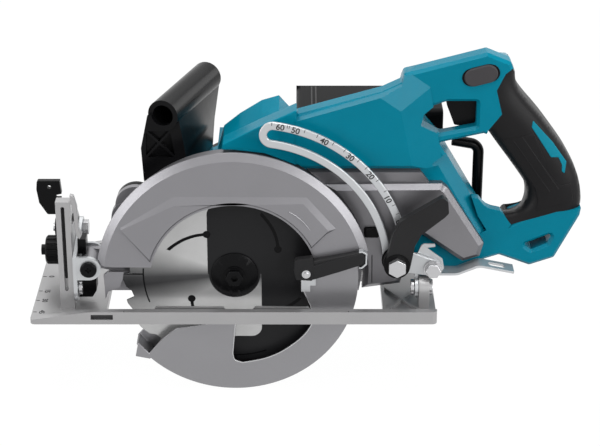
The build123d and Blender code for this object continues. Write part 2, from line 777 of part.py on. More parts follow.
# Driven gear on the spindle's tail, and the motor's pinion in mesh with it
with BuildPart() as driven_gear:
    with BuildSketch(side(gear_y + gear_w)):
        with Locations((arbor_x, arbor_z)):
            Polygon(*gear_points(gear_teeth, 90), align=None)
            Circle(tail_r, mode=Mode.SUBTRACT)
            with PolarLocations(0.6 * gear_r, 6):
                Circle(3, mode=Mode.SUBTRACT)
    extrude(amount=gear_w)
driven_gear.part.label = "driven_gear"
export_step(driven_gear.part, "parts/driven_gear.step")
with BuildPart() as pinion:
    with BuildSketch(side(gear_y + gear_w)):
        with Locations((motor_x, motor_z)):
            Polygon(*gear_points(pinion_teeth, 90 + 180 / pinion_teeth), align=None)
            Circle(shaft_r, mode=Mode.SUBTRACT)
    extrude(amount=gear_w)
pinion.part.label = "pinion"
export_step(pinion.part, "parts/pinion.step")

# Blade: teeth, gullets, expansion slots and damping slots
pitch_len = pi * blade_d / blade_teeth
rim_slot_r = 0.81 * blade_r
with BuildPart() as blade:
    with BuildSketch(side(blade_t / 2)):
        with Locations((arbor_x, arbor_z)):
            Circle(blade_r)
            with PolarLocations(blade_r, blade_teeth):
                Polygon(
                    (1.0, 0), (-gullet_depth, -0.06 * pitch_len), (-0.93 * gullet_depth, -0.3 * pitch_len),
                    (-0.46 * gullet_depth, -0.5 * pitch_len), (-0.35 * gullet_depth, -0.87 * pitch_len),
                    (1.0, -0.87 * pitch_len), align=None, mode=Mode.SUBTRACT,
                )
            with PolarLocations(0, 4, start_angle=180):
                Polygon(*curved_slot(rim_slot_r, rim_slot_r, -4, 20, 1.2), align=None, mode=Mode.SUBTRACT)
                with Locations(((rim_slot_r + blade_r) / 2, 0)):
                    Rectangle(blade_r - rim_slot_r, 1.2, mode=Mode.SUBTRACT)
            with PolarLocations(0, 4, start_angle=140):
                Polygon(*curved_slot(0.455 * blade_r, 0.63 * blade_r, -18, 18, 3.0), align=None, mode=Mode.SUBTRACT)
                with Locations((0.455 * blade_r * cos(radians(18)), -0.455 * blade_r * sin(radians(18)))):
                    Circle(3.2, mode=Mode.SUBTRACT)
            Circle(spindle_r, mode=Mode.SUBTRACT)
    extrude(amount=blade_t)
blade.part.label = "blade"
export_step(blade.part, "parts/blade.step")

# Clamping flanges and the arbor bolt
with BuildPart() as inner_flange:
    with BuildSketch(side(blade_t / 2 + flange_t - 0.6)):
        with Locations((arbor_x, arbor_z)):
            Circle(flange_r)
            Circle(spindle_r, mode=Mode.SUBTRACT)
    extrude(amount=flange_t - 0.6)
inner_flange.part.label = "inner_flange"
export_step(inner_flange.part, "parts/inner_flange.step")
with BuildPart() as outer_flange:
    with BuildSketch(spoke(0)):
        Polygon(
            (spindle_r, -blade_t / 2), (flange_r, -blade_t / 2), (flange_r, -blade_t / 2 - 1.2),
            (flange_r - 7, -blade_t / 2 - flange_t), (tap_r, -blade_t / 2 - flange_t),
            (tap_r, -blade_t / 2 - 2.0), (spindle_r, -blade_t / 2 - 2.0), align=None,
        )
    revolve(axis=arbor_axis, revolution_arc=360)
outer_flange.part.label = "outer_flange"
export_step(outer_flange.part, "parts/outer_flange.step")
head_y = -blade_t / 2 - flange_t
with BuildPart() as arbor_bolt:
    with BuildSketch(side(spindle_y + tap_depth - 2)):
        with Locations((arbor_x, arbor_z)):
            Circle(tap_r)
    extrude(amount=spindle_y + tap_depth - 2 - head_y)
    with BuildSketch(side(head_y)):
        with Locations((arbor_x, arbor_z)):
            Circle(0.68 * bolt_head_af)
    extrude(amount=1.0)
    with BuildSketch(side(head_y - 1.0)):
        with Locations((arbor_x, arbor_z)):
            RegularPolygon(bolt_head_af / 2, 6, major_radius=False)
    extrude(amount=4.2)
    fillet(arbor_bolt.faces().sort_by(Axis.Y)[0].edges(), 0.6)
    with BuildSketch(side(head_y - 5.2)):
        with Locations((arbor_x, arbor_z)):
            RegularPolygon(2.6, 6, major_radius=False)
    extrude(amount=-3.0, mode=Mode.SUBTRACT)
arbor_bolt.part.label = "arbor_bolt"
export_step(arbor_bolt.part, "parts/arbor_bolt.step")

# Lower guard: near wall with its window, rim and far wall, turning on the nose
hub_r = nose_r + 0.3
lower_far_y = guard_far_y + guard_side_t
rim_lead = -144.0
wall_lead = -136.0
rim_trail = 8.0
with BuildPart() as lower_guard:
    with BuildSketch(spoke(rim_lead)):
        Polygon(
            (lower_r - guard_wall, guard_near_y), (lower_r, guard_near_y), (lower_r, lower_far_y),
            (lower_r - guard_wall, lower_far_y), align=None,
        )
    revolve(axis=arbor_axis, revolution_arc=rim_trail - rim_lead)
    with BuildSketch(side(lower_far_y)):
        Polygon(
            polar(lower_r - guard_wall, rim_lead), polar(lower_r + 8.0, rim_lead + 4.6),
            polar(lower_r + 1.0, rim_lead + 10.0), polar(lower_r - guard_wall, rim_lead + 10.0), align=None,
        )
    extrude(amount=lower_far_y - guard_near_y)
    with BuildSketch(side(guard_near_y + guard_side_t)):
        with BuildLine():
            CenterArc((arbor_x, arbor_z), lower_r, wall_lead, rim_trail - wall_lead)
            Polyline(
                polar(lower_r, rim_trail), polar(lower_r - 14, 14), at(57, 14), at(55, -8), at(62.5, -24),
                at(64.5, -39),
            )
            ThreePointArc(at(64.5, -39), at(41, -65), at(6, -77))
            ThreePointArc(at(6, -77), at(-0.6, -74.2), at(-2.2, -68))
            Polyline(at(-2.2, -68), at(0.5, -38), at(-48, -45))
            ThreePointArc(at(-48, -45), at(-62, -57), polar(lower_r, wall_lead))
        make_face()
    extrude(amount=guard_side_t)
    with BuildSketch(side(lower_far_y)):
        with BuildLine():
            CenterArc((arbor_x, arbor_z), lower_r, rim_lead, rim_trail - rim_lead)
            Polyline(
                polar(lower_r, rim_trail), polar(lower_r - 14, 14), at(0, hub_r + 7), at(-hub_r - 7, 0),
                polar(lower_r, rim_lead),
            )
        make_face()
        with Locations((arbor_x, arbor_z)):
            Circle(hub_r + 7)
            Circle(hub_r, mode=Mode.SUBTRACT)
    extrude(amount=guard_side_t)
lower_guard.part.label = "lower_guard"
export_step(lower_guard.part, "parts/lower_guard.step")

# Return spring of the lower guard, wound round the nose
spring_r = hub_r + 3.5
spring_wire_r = 0.6
spring_y = lower_far_y + spring_wire_r + 0.8
with BuildPart() as guard_spring:
    with BuildLine() as coil:
        Helix(pitch=1.5, height=1.5, radius=spring_r, center=(arbor_x, spring_y, arbor_z), direction=(0, 1, 0))
    with BuildSketch(Plane(origin=coil.line @ 0, z_dir=coil.line % 0)):
        Circle(spring_wire_r)
    sweep(path=coil.line, is_frenet=True)
guard_spring.part.label = "guard_spring"
export_step(guard_spring.part, "parts/guard_spring.step")

# Lower guard lever: a hub in the window and an arm in front of the upper guard's face
lever_hub = polar(window_r - 9.84, 12.85)
lever_hub_r = 8.0
ridge_y = face_y - ridge_h
with BuildPart() as guard_lever:
    with BuildSketch(side(guard_near_y)):
        with Locations(lever_hub):
            Circle(lever_hub_r)
    extrude(amount=guard_near_y - ridge_y + 0.6)
    with BuildSketch(side(ridge_y - 0.6)):
        with Locations(lever_hub):
            Circle(lever_hub_r)
        with Locations(at(101.0, 24.0)):
            Circle(6.0)
        make_hull()
    extrude(amount=5.0)
    fillet(guard_lever.faces().sort_by(Axis.Y)[0].edges(), 2.0)
guard_lever.part.label = "guard_lever"
export_step(guard_lever.part, "parts/guard_lever.step")

# Plated clip under the lever's hub
with BuildPart() as guard_clip:
    with BuildSketch(side(guard_near_y)):
        Polygon(
            at(54.5, 1.5), at(66.5, 1.5), at(66.5, -5.0), at(62.0, -5.0), at(62.0, -10.5), at(54.5, -10.5),
            align=None,
        )
    extrude(amount=2.0)
guard_clip.part.label = "guard_clip"
export_step(guard_clip.part, "parts/guard_clip.step")

# Side cover on the near face of the handle, with a ledge, a shaft lock window and the depth clamp's boss
cover_edge = 4.0
ledge_t = 4.0
ledge_top = face_r - 18.0
boss_r = 7.0
boss_y = guide_y + guide_t + slide_gap
button_place = polar(rim_r + 13.1, 17.8)
button_l = 12.0
button_h = 8.0
with BuildPart() as side_cover:
    with BuildSketch(side(body_y)):
        with BuildLine():
            Polyline(
                polar(face_r, 46), at(168, 77), at(173, 73), at(204, 24), (arbor_x + 201, tail_z + 10.5),
                (arbor_x + 187, tail_z + 6.0), at(152, 33), at(144, 14), at(136, -12), polar(face_r, -9),
            )
            CenterArc((arbor_x, arbor_z), face_r, -9, 55)
        make_face()
    extrude(amount=cover_t)
    chamfer(side_cover.faces().sort_by(Axis.Y)[0].outer_wire().edges(), cover_edge)
    with BuildSketch(side(body_y)):
        with BuildLine():
            Polyline(
                polar(face_r, 40), at(sqrt(face_r ** 2 - ledge_top ** 2), ledge_top), at(150, ledge_top), at(158, 77),
                at(150, 68), polar(face_r, 40),
            )
        make_face()
    extrude(amount=ledge_t)
    with BuildSketch(side(cover_y)):
        with Locations((clamp_x, clamp_z)):
            Circle(boss_r)
    extrude(amount=cover_y - boss_y)
    with BuildSketch(side(body_y)):
        with Locations((clamp_x, clamp_z)):
            Circle(clamp_bolt_r)
        with Locations(button_place):
            RectangleRounded(button_l + 2 * slide_gap, button_h + 2 * slide_gap, 2.0)
    extrude(amount=body_y - boss_y, mode=Mode.SUBTRACT)
side_cover.part.label = "side_cover"
export_step(side_cover.part, "parts/side_cover.step")

# Depth clamp: bolt in the cover's boss, washer on the guide and the lever between washer and bolt head
washer_t = 1.6
washer_y = guide_y - slide_gap - washer_t
depth_hub_r = 11.0
depth_hub_l = 6.5
depth_hub_y = washer_y - slide_gap - depth_hub_l
with BuildPart() as depth_clamp_bolt:
    with BuildSketch(side(body_y - 1.0)):
        with Locations((clamp_x, clamp_z)):
            Circle(clamp_bolt_r)
    extrude(amount=body_y - 1.0 - depth_hub_y + slide_gap)
    with BuildSketch(side(depth_hub_y - slide_gap)):
        with Locations((clamp_x, clamp_z)):
            RegularPolygon(5.5, 6, major_radius=False)
    extrude(amount=4.5)
    fillet(depth_clamp_bolt.faces().sort_by(Axis.Y)[0].edges(), 0.7)
depth_clamp_bolt.part.label = "depth_clamp_bolt"
export_step(depth_clamp_bolt.part, "parts/depth_clamp_bolt.step")
with BuildPart() as clamp_washer:
    with BuildSketch(side(washer_y + washer_t)):
        with Locations((clamp_x, clamp_z)):
            Circle(depth_hub_r + 1.0)
            Circle(clamp_bolt_r, mode=Mode.SUBTRACT)
    extrude(amount=washer_t)
clamp_washer.part.label = "clamp_washer"
export_step(clamp_washer.part, "parts/clamp_washer.step")
with BuildPart() as depth_lock_lever:
    with BuildSketch(side(depth_hub_y + depth_hub_l)):
        with Locations((clamp_x, clamp_z)):
            Circle(depth_hub_r)
    extrude(amount=depth_hub_l)
    with BuildSketch(side(depth_hub_y + 3.0)):
        Polygon(
            at(123, 20), at(128, 44), at(134, 55.5), at(167, 76.4), at(171.5, 73.0), at(172.5, 63.0),
            at(169.5, 59.5), at(151, 44), at(146, 34), at(142.5, 14), align=None,
        )
    extrude(amount=7.5)
    with BuildSketch(side(depth_hub_y)):
        with Locations((clamp_x, clamp_z)):
            Circle(8.0)
    extrude(amount=10.0, mode=Mode.SUBTRACT)
    with BuildSketch(side(depth_hub_y + depth_hub_l)):
        with Locations((clamp_x, clamp_z)):
            Circle(clamp_bolt_r + running_gap)
    extrude(amount=depth_hub_l, mode=Mode.SUBTRACT)
    fillet(depth_lock_lever.edges().filter_by(Axis.Y).filter_by(lambda e: e.center().Z > arbor_z + 50), 2.5)
depth_lock_lever.part.label = "depth_lock_lever"
export_step(depth_lock_lever.part, "parts/depth_lock_lever.step")

# Shaft lock button in the cover's window
button_travel = 3.0
with BuildPart() as shaft_lock_button:
    with BuildSketch(side(body_y - button_travel - 0.6)):
        with Locations(button_place):
            RectangleRounded(button_l, button_h, 1.8)
    extrude(amount=cover_t)
    fillet(shaft_lock_button.faces().sort_by(Axis.Y)[0].edges(), 1.0)
shaft_lock_button.part.label = "shaft_lock_button"
export_step(shaft_lock_button.part, "parts/shaft_lock_button.step")

# Motor housing: an upper block with sloping faces, the motor drum and a pad for the front handle
block_y = body_y + 9.0
block_far_y = block_y + 76.0
block_depths = (block_y, block_y + 34.0, block_far_y)
block_line = [
    (-14.5, (66, 66, 66)), (-13.8, (88, 90, 71)), (-9.0, (99, 108, 88)), (4.5, (106.3, 119, 99)),
    (22.4, (115.5, 130.3, 110.3)), (36.4, (122, 134.5, 114.5)), (48.0, (117, 121, 101)), (50.0, (66, 66, 66)),
]
drum_in_r = motor_r - motor_wall
pad_y = block_y + 56.0
pad_w = 25.0
pad_top = motor_z + motor_r + 1.0
pad_x = motor_x - 27.5
pad_screws = [(pad_x, pad_y + 8), (pad_x, pad_y + 18)]
stud_l = 16.0
with BuildPart() as motor_housing:
    for near_end, far_end in ((0, 1), (1, 2)):
        for end in (near_end, far_end):
            with BuildSketch(side(block_depths[end])):
                Polygon(*[at(x, heights[end]) for x, heights in block_line], align=None)
        loft(ruled=True)
    with BuildSketch(side(block_far_y)):
        with Locations(at(17.75, 30)):
            Rectangle(64.5, 60, align=(Align.CENTER, Align.MIN))
    extrude(amount=block_far_y - case_far_y)
    with BuildSketch(side(motor_far_y)):
        with Locations((motor_x, motor_z)):
            Circle(motor_r)
    extrude(amount=motor_length)
    with BuildSketch(side(pad_y + pad_w)):
        with Locations((pad_x, motor_z + 20)):
            Rectangle(13, pad_top - motor_z - 20, align=(Align.CENTER, Align.MIN))
    extrude(amount=pad_w)
    with Locations(*[(x, y, pad_top) for x, y in pad_screws]):
        Cylinder(screw_r, stud_l / 2, align=(Align.CENTER, Align.CENTER, Align.MAX), mode=Mode.SUBTRACT)
    with BuildSketch(side(motor_far_y)):
        with Locations((motor_x, motor_z)):
            Circle(drum_in_r)
    extrude(amount=motor_length - motor_wall, mode=Mode.SUBTRACT)
    with BuildSketch(side(motor_far_y)):
        with Locations((motor_x, motor_z)):
            Circle(small_bearing_r - 2)
    extrude(amount=motor_length, mode=Mode.SUBTRACT)
motor_housing.part.label = "motor_housing"
export_step(motor_housing.part, "parts/motor_housing.step")

# Motor: stator core, coils, rotor, fan and end cap
coil_end = 5.0
fan_gap = 5.0
fan_y = motor_far_y - fan_w - 7.0
stack_y = fan_y - fan_gap - coil_end - stack_length
bore_r = rotor_r + air_gap
coil_r = (stator_r + bore_r) / 2
with BuildPart() as stator:
    with BuildSketch(side(stack_y + stack_length)):
        with Locations((motor_x, motor_z)):
            Circle(stator_r)
            Circle(bore_r, mode=Mode.SUBTRACT)
            with PolarLocations(coil_r, 6):
                Rectangle(0.52 * (stator_r - bore_r), 0.5 * coil_r, mode=Mode.SUBTRACT)
    extrude(amount=stack_length)
stator.part.label = "stator"
export_step(stator.part, "parts/stator.step")
with BuildPart() as stator_coils:
    with BuildSketch(side(stack_y + stack_length + coil_end)):
        with Locations((motor_x, motor_z)):
            with PolarLocations(coil_r, 6):
                Rectangle(0.52 * (stator_r - bore_r), 0.5 * coil_r)
    extrude(amount=stack_length + 2 * coil_end)
stator_coils.part.label = "stator_coils"
export_step(stator_coils.part, "parts/stator_coils.step")
with BuildPart() as rotor:
    with BuildSketch(side(motor_far_y + small_bearing_w)):
        with Locations((motor_x, motor_z)):
            Circle(shaft_r)
    extrude(amount=motor_far_y + small_bearing_w - gear_y + 1)
    with BuildSketch(side(stack_y + stack_length)):
        with Locations((motor_x, motor_z)):
            Circle(rotor_r)
    extrude(amount=stack_length)
rotor.part.label = "rotor"
export_step(rotor.part, "parts/rotor.step")
with BuildPart() as cooling_fan:
    with BuildSketch(side(fan_y + fan_w)):
        with Locations((motor_x, motor_z)):
            Circle(8)
    extrude(amount=fan_w)
    with BuildSketch(side(fan_y + 2)):
        with Locations((motor_x, motor_z)):
            Circle(fan_r)
    extrude(amount=2)
    with BuildSketch(side(fan_y + fan_w)):
        with Locations((motor_x, motor_z)):
            with PolarLocations((fan_r + 10) / 2, 9):
                Rectangle(fan_r - 12, 1.6, rotation=18)
    extrude(amount=fan_w)
    with BuildSketch(side(fan_y + fan_w)):
        with Locations((motor_x, motor_z)):
            Circle(shaft_r)
    extrude(amount=fan_w, mode=Mode.SUBTRACT)
cooling_fan.part.label = "cooling_fan"
export_step(cooling_fan.part, "parts/cooling_fan.step")
with BuildPart() as motor_end_cap:
    with BuildSketch(side(cap_far_y)):
        with Locations((motor_x, motor_z)):
            Circle(motor_r)
    extrude(amount=cap_t)
    fillet(motor_end_cap.edges().sort_by(Axis.Y)[-1], 4.0)
    with BuildSketch(side(motor_far_y + small_bearing_w)):
        with Locations((motor_x, motor_z)):
            Circle(small_bearing_r)
    extrude(amount=small_bearing_w, mode=Mode.SUBTRACT)
    with BuildSketch(side(cap_far_y)):
        with Locations((motor_x, motor_z)):
            with PolarLocations(0.62 * motor_r, 16):
                SlotOverall(0.36 * motor_r, 3.2)
    extrude(amount=cap_t, mode=Mode.SUBTRACT)
motor_end_cap.part.label = "motor_end_cap"
export_step(motor_end_cap.part, "parts/motor_end_cap.step")

# Handle outline as x, z and how far it falls towards the far face, with its openings
handle_line = [
    (50, 62, 0), (50, 133, 12.5), (119, 152.5, 12.5), (134.5, 160, 12.5), (136, 168, 12.5), (148, 171, 12.5),
    (201.5, 185.3, 12.5), (220.5, 177.5, 5), (225, 166, 2.5), (227.5, 155.5, 0), (258, 120, 0), (279, 81, 0),
    (284, 55, 0), (282.5, 45, 0), (263.5, 7, 0), (243.5, 0, 0), (218, 9.5, 0), (206, 5.5, 0), (194, -3, 0),
    (138, -8, 0), (118, 0, 0),
]
hand_opening = [
    (165.5, 108.9), (201.3, 117), (206.2, 115), (238.5, 70), (243, 54), (241.5, 45), (221.6, 34.7), (213.2, 34.2),
    (205.1, 41.1),
]
trigger_opening = [
    (150, 126), (152.6, 135.2), (161.2, 141.1), (171.1, 144.5), (195, 144.5), (195, 123), (165.2, 117.2),
]
tether_hole = [(237.6, 19), (254.5, 26.3), (261.4, 29), (257.3, 19.9), (244.4, 13.9)]
finger_bar_gap = [(150, 126), (195, 126), (195, 112), (165.5, 107)]
finger_bar_w = 12.0
grip_line = [
    (221.5, 172), (216.5, 168), (210, 154), (215, 134), (204.5, 120), (206.2, 115), (238.5, 70), (243, 54),
    (241.5, 45), (226.7, 37.3), (264, 49), (282, 51), (284, 55), (279, 81), (258, 120), (227.5, 155.5), (225, 166),
]
grip_cut = [
    (221.5, 172), (216.5, 168), (210, 154), (215, 134), (204.5, 120), (202, 110), (233, 67), (237, 55), (236, 48),
    (223, 42), (226.7, 37.3), (264, 49), (282, 51), (288, 52), (283, 83), (262, 123), (232, 159), (229, 168),
]
body_pocket = [
    (55, 66), (55, 112), (118, 132), (132, 139), (143, 139), (144, 118), (162, 96), (194, 42), (192, 6), (139, -3),
    (121, 5),
]
core_links = [
    [(200, 120), (200, 146), (208, 158), (222, 158), (224, 132), (222.5, 119)],
    [(246, 36), (246, 54), (270, 62), (275, 46)],
]
panel_in_r = face_r + 2.5
panel_low = ledge_top + 2.0
panel_line = [
    at(50, sqrt(panel_in_r ** 2 - 50 ** 2)), at(sqrt(panel_in_r ** 2 - panel_low ** 2), panel_low),
    at(169, panel_low), at(157, 157), at(154.5, 169), at(136, 167), at(134.5, 159.5), at(119, 152), at(50, 131.5),
]
facet_lines = (((118, 151), (133.6, 140)), ((133.6, 140), (142.6, 98)))
facet_end = (157.6, 156.8)
leg_facet_w = 9.7
leg_facet_t = 7.0
leg_facet_l = 76.0
leg_slope = 120.0
outline_r = 3.0
opening_r = 1.5
crown_y = body_y + crown_back
panel_y = body_y - panel_t
grip_low = body_y + grip_skin
grip_high = shell_far_y - grip_skin
lock_place = at(197, 167)
lock_tilt = 15.0
lock_depth = shell_half + 3.0
trigger_pin_place = at(190, 146)
trigger_pin_r = 2.0
trigger_pocket_h = 38.0
switch_x = 204.0
switch_l = 18.0
switch_z = 120.0
switch_h = 28.0
switch_w = 22.0
shell_screws = [at(62, 74), at(62, 108), at(130, 10), at(150, 62), at(159, 157), at(238, 30)]
boss_screws = shell_screws[:4]
with BuildPart() as handle_blank:
    with BuildSketch(side(crown_y)):
        Polygon(*[at(x, z) for x, z, fall in handle_line], align=None)
        fillet(vertices(), outline_r)
    extrude(amount=crown_back)
    with BuildSketch(side(crown_y)):
        Polygon(*[at(x, z) for x, z, fall in handle_line], align=None)
        fillet(vertices(), outline_r)
    with BuildSketch(side(shell_far_y)):
        Polygon(*[at(x, z - fall) for x, z, fall in handle_line], align=None)
        fillet(vertices(), outline_r)
    loft(ruled=True)
    with BuildSketch(side(shell_far_y)):
        for line in (hand_opening, trigger_opening, tether_hole):
            Polygon(*[at(*p) for p in line], align=None)
        fillet(vertices(), opening_r)
    extrude(amount=2 * shell_half, mode=Mode.SUBTRACT)
    for end in (0, -1):
        chamfer(handle_blank.faces().sort_by(Axis.Y)[end].edges(), edge_r / 2)
    with BuildSketch(side(shell_far_y)):
        Polygon(*[at(*p) for p in finger_bar_gap], align=None)
    extrude(amount=2 * shell_half - finger_bar_w, mode=Mode.SUBTRACT)
    with BuildSketch(side(shell_far_y)):
        Polygon(*[at(*p) for p in grip_cut], align=None)
    extrude(amount=2 * shell_half, mode=Mode.SUBTRACT)
    with BuildSketch(side(grip_high)):
        Polygon(*[at(*p) for p in grip_line], align=None)
        offset(amount=-grip_skin)
        for line in core_links:
            Polygon(*[at(*p) for p in line], align=None)
    extrude(amount=grip_high - grip_low)
    with BuildSketch(side(shell_far_y - shell_wall)):
        Polygon(*[at(*p) for p in body_pocket], align=None)
    extrude(amount=2 * (shell_half - shell_wall), mode=Mode.SUBTRACT)
    with BuildSketch(side(shell_far_y - shell_wall)):
        with Locations(*boss_screws):
            Circle(5.0)
    extrude(amount=2 * (shell_half - shell_wall))
    with BuildSketch(side(body_y + lock_depth)):
        with Locations(lock_place):
            SlotOverall(lock_l + 2 * slide_gap, lock_h + 2 * slide_gap, rotation=lock_tilt)
    extrude(amount=lock_depth + lock_proud, mode=Mode.SUBTRACT)
    with BuildSketch(side(shell_far_y + lock_proud)):
        with Locations(lock_place):
            Circle(lock_pin_r + slide_gap)
    extrude(amount=shell_half + lock_proud, mode=Mode.SUBTRACT)
    with BuildSketch(side(shell_y + trigger_w / 2 + 0.5)):
        with Locations(at(switch_x, switch_z - 3)):
            Rectangle(38, trigger_pocket_h, align=(Align.MAX, Align.MIN))
    extrude(amount=trigger_w + 1, mode=Mode.SUBTRACT)
    with BuildSketch(side(shell_y + switch_w / 2)):
        with Locations(at(switch_x, switch_z)):
            Rectangle(switch_l, switch_h, align=(Align.MIN, Align.MIN))
    extrude(amount=switch_w, mode=Mode.SUBTRACT)
    with BuildSketch(side(shell_y + 15)):
        with Locations(trigger_pin_place):
            Circle(trigger_pin_r)
    extrude(amount=30, mode=Mode.SUBTRACT)
    with BuildSketch(side(shell_far_y)):
        with Locations(*shell_screws):
            Circle(screw_r)
    extrude(amount=2 * shell_half - 6, mode=Mode.SUBTRACT)
    with BuildSketch(side(shell_far_y)):
        with Locations(*shell_screws):
            Circle(screw_head_r)
    extrude(amount=shell_wall - 1, mode=Mode.SUBTRACT)

# Raised panel on the near face, sloped down to the arm by two facets
with BuildPart() as body_panel:
    with BuildSketch(side(body_y + 3)):
        Polygon(*panel_line, align=None)
    extrude(amount=panel_t + 3)
    for (x_a, z_a), (x_b, z_b) in facet_lines:
        corner = Vector(arbor_x + x_a, panel_y, arbor_z + z_a)
        along = Vector(arbor_x + x_b, panel_y, arbor_z + z_b) - corner
        down = Vector(arbor_x + facet_end[0], body_y, arbor_z + facet_end[1]) - corner
        split(bisect_by=Plane(origin=corner, z_dir=along.cross(down)), keep=Keep.BOTTOM)
    with BuildSketch(side(body_y + 3)):
        for line in (hand_opening, trigger_opening):
            Polygon(*[at(*p) for p in line], align=None)
        fillet(vertices(), opening_r)
    extrude(amount=panel_t + 3, mode=Mode.SUBTRACT)
with BuildPart() as handle_near:
    add(handle_blank.part)
    split(bisect_by=side(shell_y), keep=Keep.TOP)
    add(body_panel.part)
    leg_top = Plane(
        origin=(arbor_x + 171, body_y, arbor_z + 99.4),
        x_dir=(sin(radians(leg_slope)), 0, -cos(radians(leg_slope))),
        z_dir=(-cos(radians(leg_slope)), 0, -sin(radians(leg_slope))),
    )
    with BuildSketch(leg_top):
        Polygon(
            (-leg_facet_w * (1 + 4 / leg_facet_t), 4), (1, 4), (1, -leg_facet_t * (1 + 1 / leg_facet_w)), align=None,
        )
    extrude(amount=leg_facet_l, mode=Mode.SUBTRACT)
handle_near.part.label = "handle_near"
export_step(handle_near.part, "parts/handle_near.step")
with BuildPart() as handle_far:
    add(handle_blank.part)
    split(bisect_by=side(shell_y), keep=Keep.BOTTOM)
handle_far.part.label = "handle_far"
export_step(handle_far.part, "parts/handle_far.step")

# Rubber grip, a rounded skin over the handle's core
with BuildPart() as handle_grip:
    with BuildSketch(side(shell_far_y)):
        Polygon(*[at(*p) for p in grip_line], align=None)
    extrude(amount=2 * shell_half)
    fillet(handle_grip.edges().filter_by(lambda e: abs(e.center().Y - shell_y) > shell_half - 1), 1.5)
    with BuildSketch(side(grip_high)):
        Polygon(*[at(*p) for p in grip_line], align=None)
        offset(amount=-grip_skin)
        for line in core_links:
            Polygon(*[at(*p) for p in line], align=None)
    extrude(amount=grip_high - grip_low, mode=Mode.SUBTRACT)
handle_grip.part.label = "handle_grip"
export_step(handle_grip.part, "parts/handle_grip.step")

# Trigger, its pin and the switch behind it
with BuildPart() as trigger:
    with BuildSketch(side(shell_y + trigger_w / 2)):
        Polygon(
            at(171.5, 138), at(173, 145), at(180, 150), at(196, 150), at(196.5, 121.5), at(188, 119), at(178, 121),
            at(175, 129), align=None,
        )
    extrude(amount=trigger_w)
    fillet(trigger.edges().filter_by(Axis.Y).sort_by(Axis.X)[:4], 1.5)
    with BuildSketch(side(shell_y + trigger_w / 2)):
        with Locations(trigger_pin_place):
            Circle(trigger_pin_r + running_gap)
    extrude(amount=trigger_w, mode=Mode.SUBTRACT)
trigger.part.label = "trigger"
export_step(trigger.part, "parts/trigger.step")
with BuildPart() as trigger_pin:
    with BuildSketch(side(shell_y + 15)):
        with Locations(trigger_pin_place):
            Circle(trigger_pin_r)
    extrude(amount=30)
trigger_pin.part.label = "trigger_pin"
export_step(trigger_pin.part, "parts/trigger_pin.step")
with BuildPart() as switch_module:
    with BuildSketch(side(shell_y + switch_w / 2)):
        with Locations(at(switch_x, switch_z)):
            Rectangle(switch_l, switch_h, align=(Align.MIN, Align.MIN))
    extrude(amount=switch_w)
switch_module.part.label = "switch_module"
export_step(switch_module.part, "parts/switch_module.step")

# Lock-off button, a capsule on the near side with a pin through to the far one
with BuildPart() as lock_off_button:
    with BuildSketch(side(body_y + lock_depth - lock_travel)):
        with Locations(lock_place):
            SlotOverall(lock_l, lock_h, rotation=lock_tilt)
    extrude(amount=lock_depth - lock_travel + lock_proud)
    fillet(lock_off_button.faces().sort_by(Axis.Y)[0].edges(), 1.2)
    with BuildSketch(side(shell_far_y + lock_proud)):
        with Locations(lock_place):
            Circle(lock_pin_r)
    extrude(amount=shell_half + lock_proud + lock_travel)
lock_off_button.part.label = "lock_off_button"
export_step(lock_off_button.part, "parts/lock_off_button.step")

# Screws that join the shells
with BuildPart() as housing_screws:
    with BuildSketch(side(shell_far_y - 0.8)):
        with Locations(*shell_screws):
            Circle(screw_head_r)
    extrude(amount=shell_wall - 1.8)
    with BuildSketch(side(shell_far_y - 2)):
        with Locations(*shell_screws):
            Circle(screw_r)
    extrude(amount=2 * shell_half - 10)
housing_screws.part.label = "housing_screws"
export_step(housing_screws.part, "parts/housing_screws.step")

# Motor controller on the near shell's inner wall
with BuildPart() as controller_board:
    with BuildSketch(side(body_y + shell_wall + 11)):
        with Locations(at(103, 92)):
            RectangleRounded(50, 46, 3)
    extrude(amount=11)
controller_board.part.label = "controller_board"
export_step(controller_board.part, "parts/controller_board.step")

# Battery mount: a channel on the far shell with short lips
mount_x = arbor_x + 62.0
mount_l = 104.0
foot_x = mount_x + 11.5
battery_x = arbor_x + 50.5
battery_top = arbor_z + 118.0
battery_z = battery_top - battery_h / 2
mount_z = battery_z
foot_gap = 0.5
mount_w = foot_w + 2 * foot_gap + 2 * foot_lip
lip_l = 22.0
lip_starts = (mount_x + 12.0, mount_x + 62.0)
mount_y = shell_far_y
hook_x = arbor_x + 202.0
hook_y = shell_far_y + hook_r + 0.8
hook_z = battery_top - battery_h - hook_gap - hook_r - 4.0
foot_l = hook_x - hook_tip - hook_gap - battery_travel - foot_x
rail_far_y = mount_y + rail_depth
with BuildPart() as battery_mount:
    with BuildSketch(side(mount_y + 3)):
        with Locations((mount_x, mount_z)):
            Rectangle(mount_l, mount_w, align=(Align.MIN, Align.CENTER))
    extrude(amount=3)
    with BuildSketch(side(rail_far_y - 1)):
        for rail_z in (mount_z - mount_w / 2 + foot_lip / 2, mount_z + mount_w / 2 - foot_lip / 2):
            with Locations((mount_x, rail_z)):
                Rectangle(mount_l, foot_lip, align=(Align.MIN, Align.CENTER))
        with Locations((mount_x, mount_z)):
            Rectangle(4, mount_w, align=(Align.MIN, Align.CENTER))
    extrude(amount=rail_depth - 1)
    with BuildSketch(side(rail_far_y - 1)):
        for lip_x in lip_starts:
            for lip_z in (mount_z - mount_w / 2 + foot_lip, mount_z + mount_w / 2 - foot_lip):
                with Locations((lip_x, lip_z)):
                    Rectangle(lip_l, 2 * foot_lip, align=(Align.MIN, Align.CENTER))
    extrude(amount=rail_depth - 1 - 3 - foot_t - 2 * foot_gap)
battery_mount.part.label = "battery_mount"
export_step(battery_mount.part, "parts/battery_mount.step")
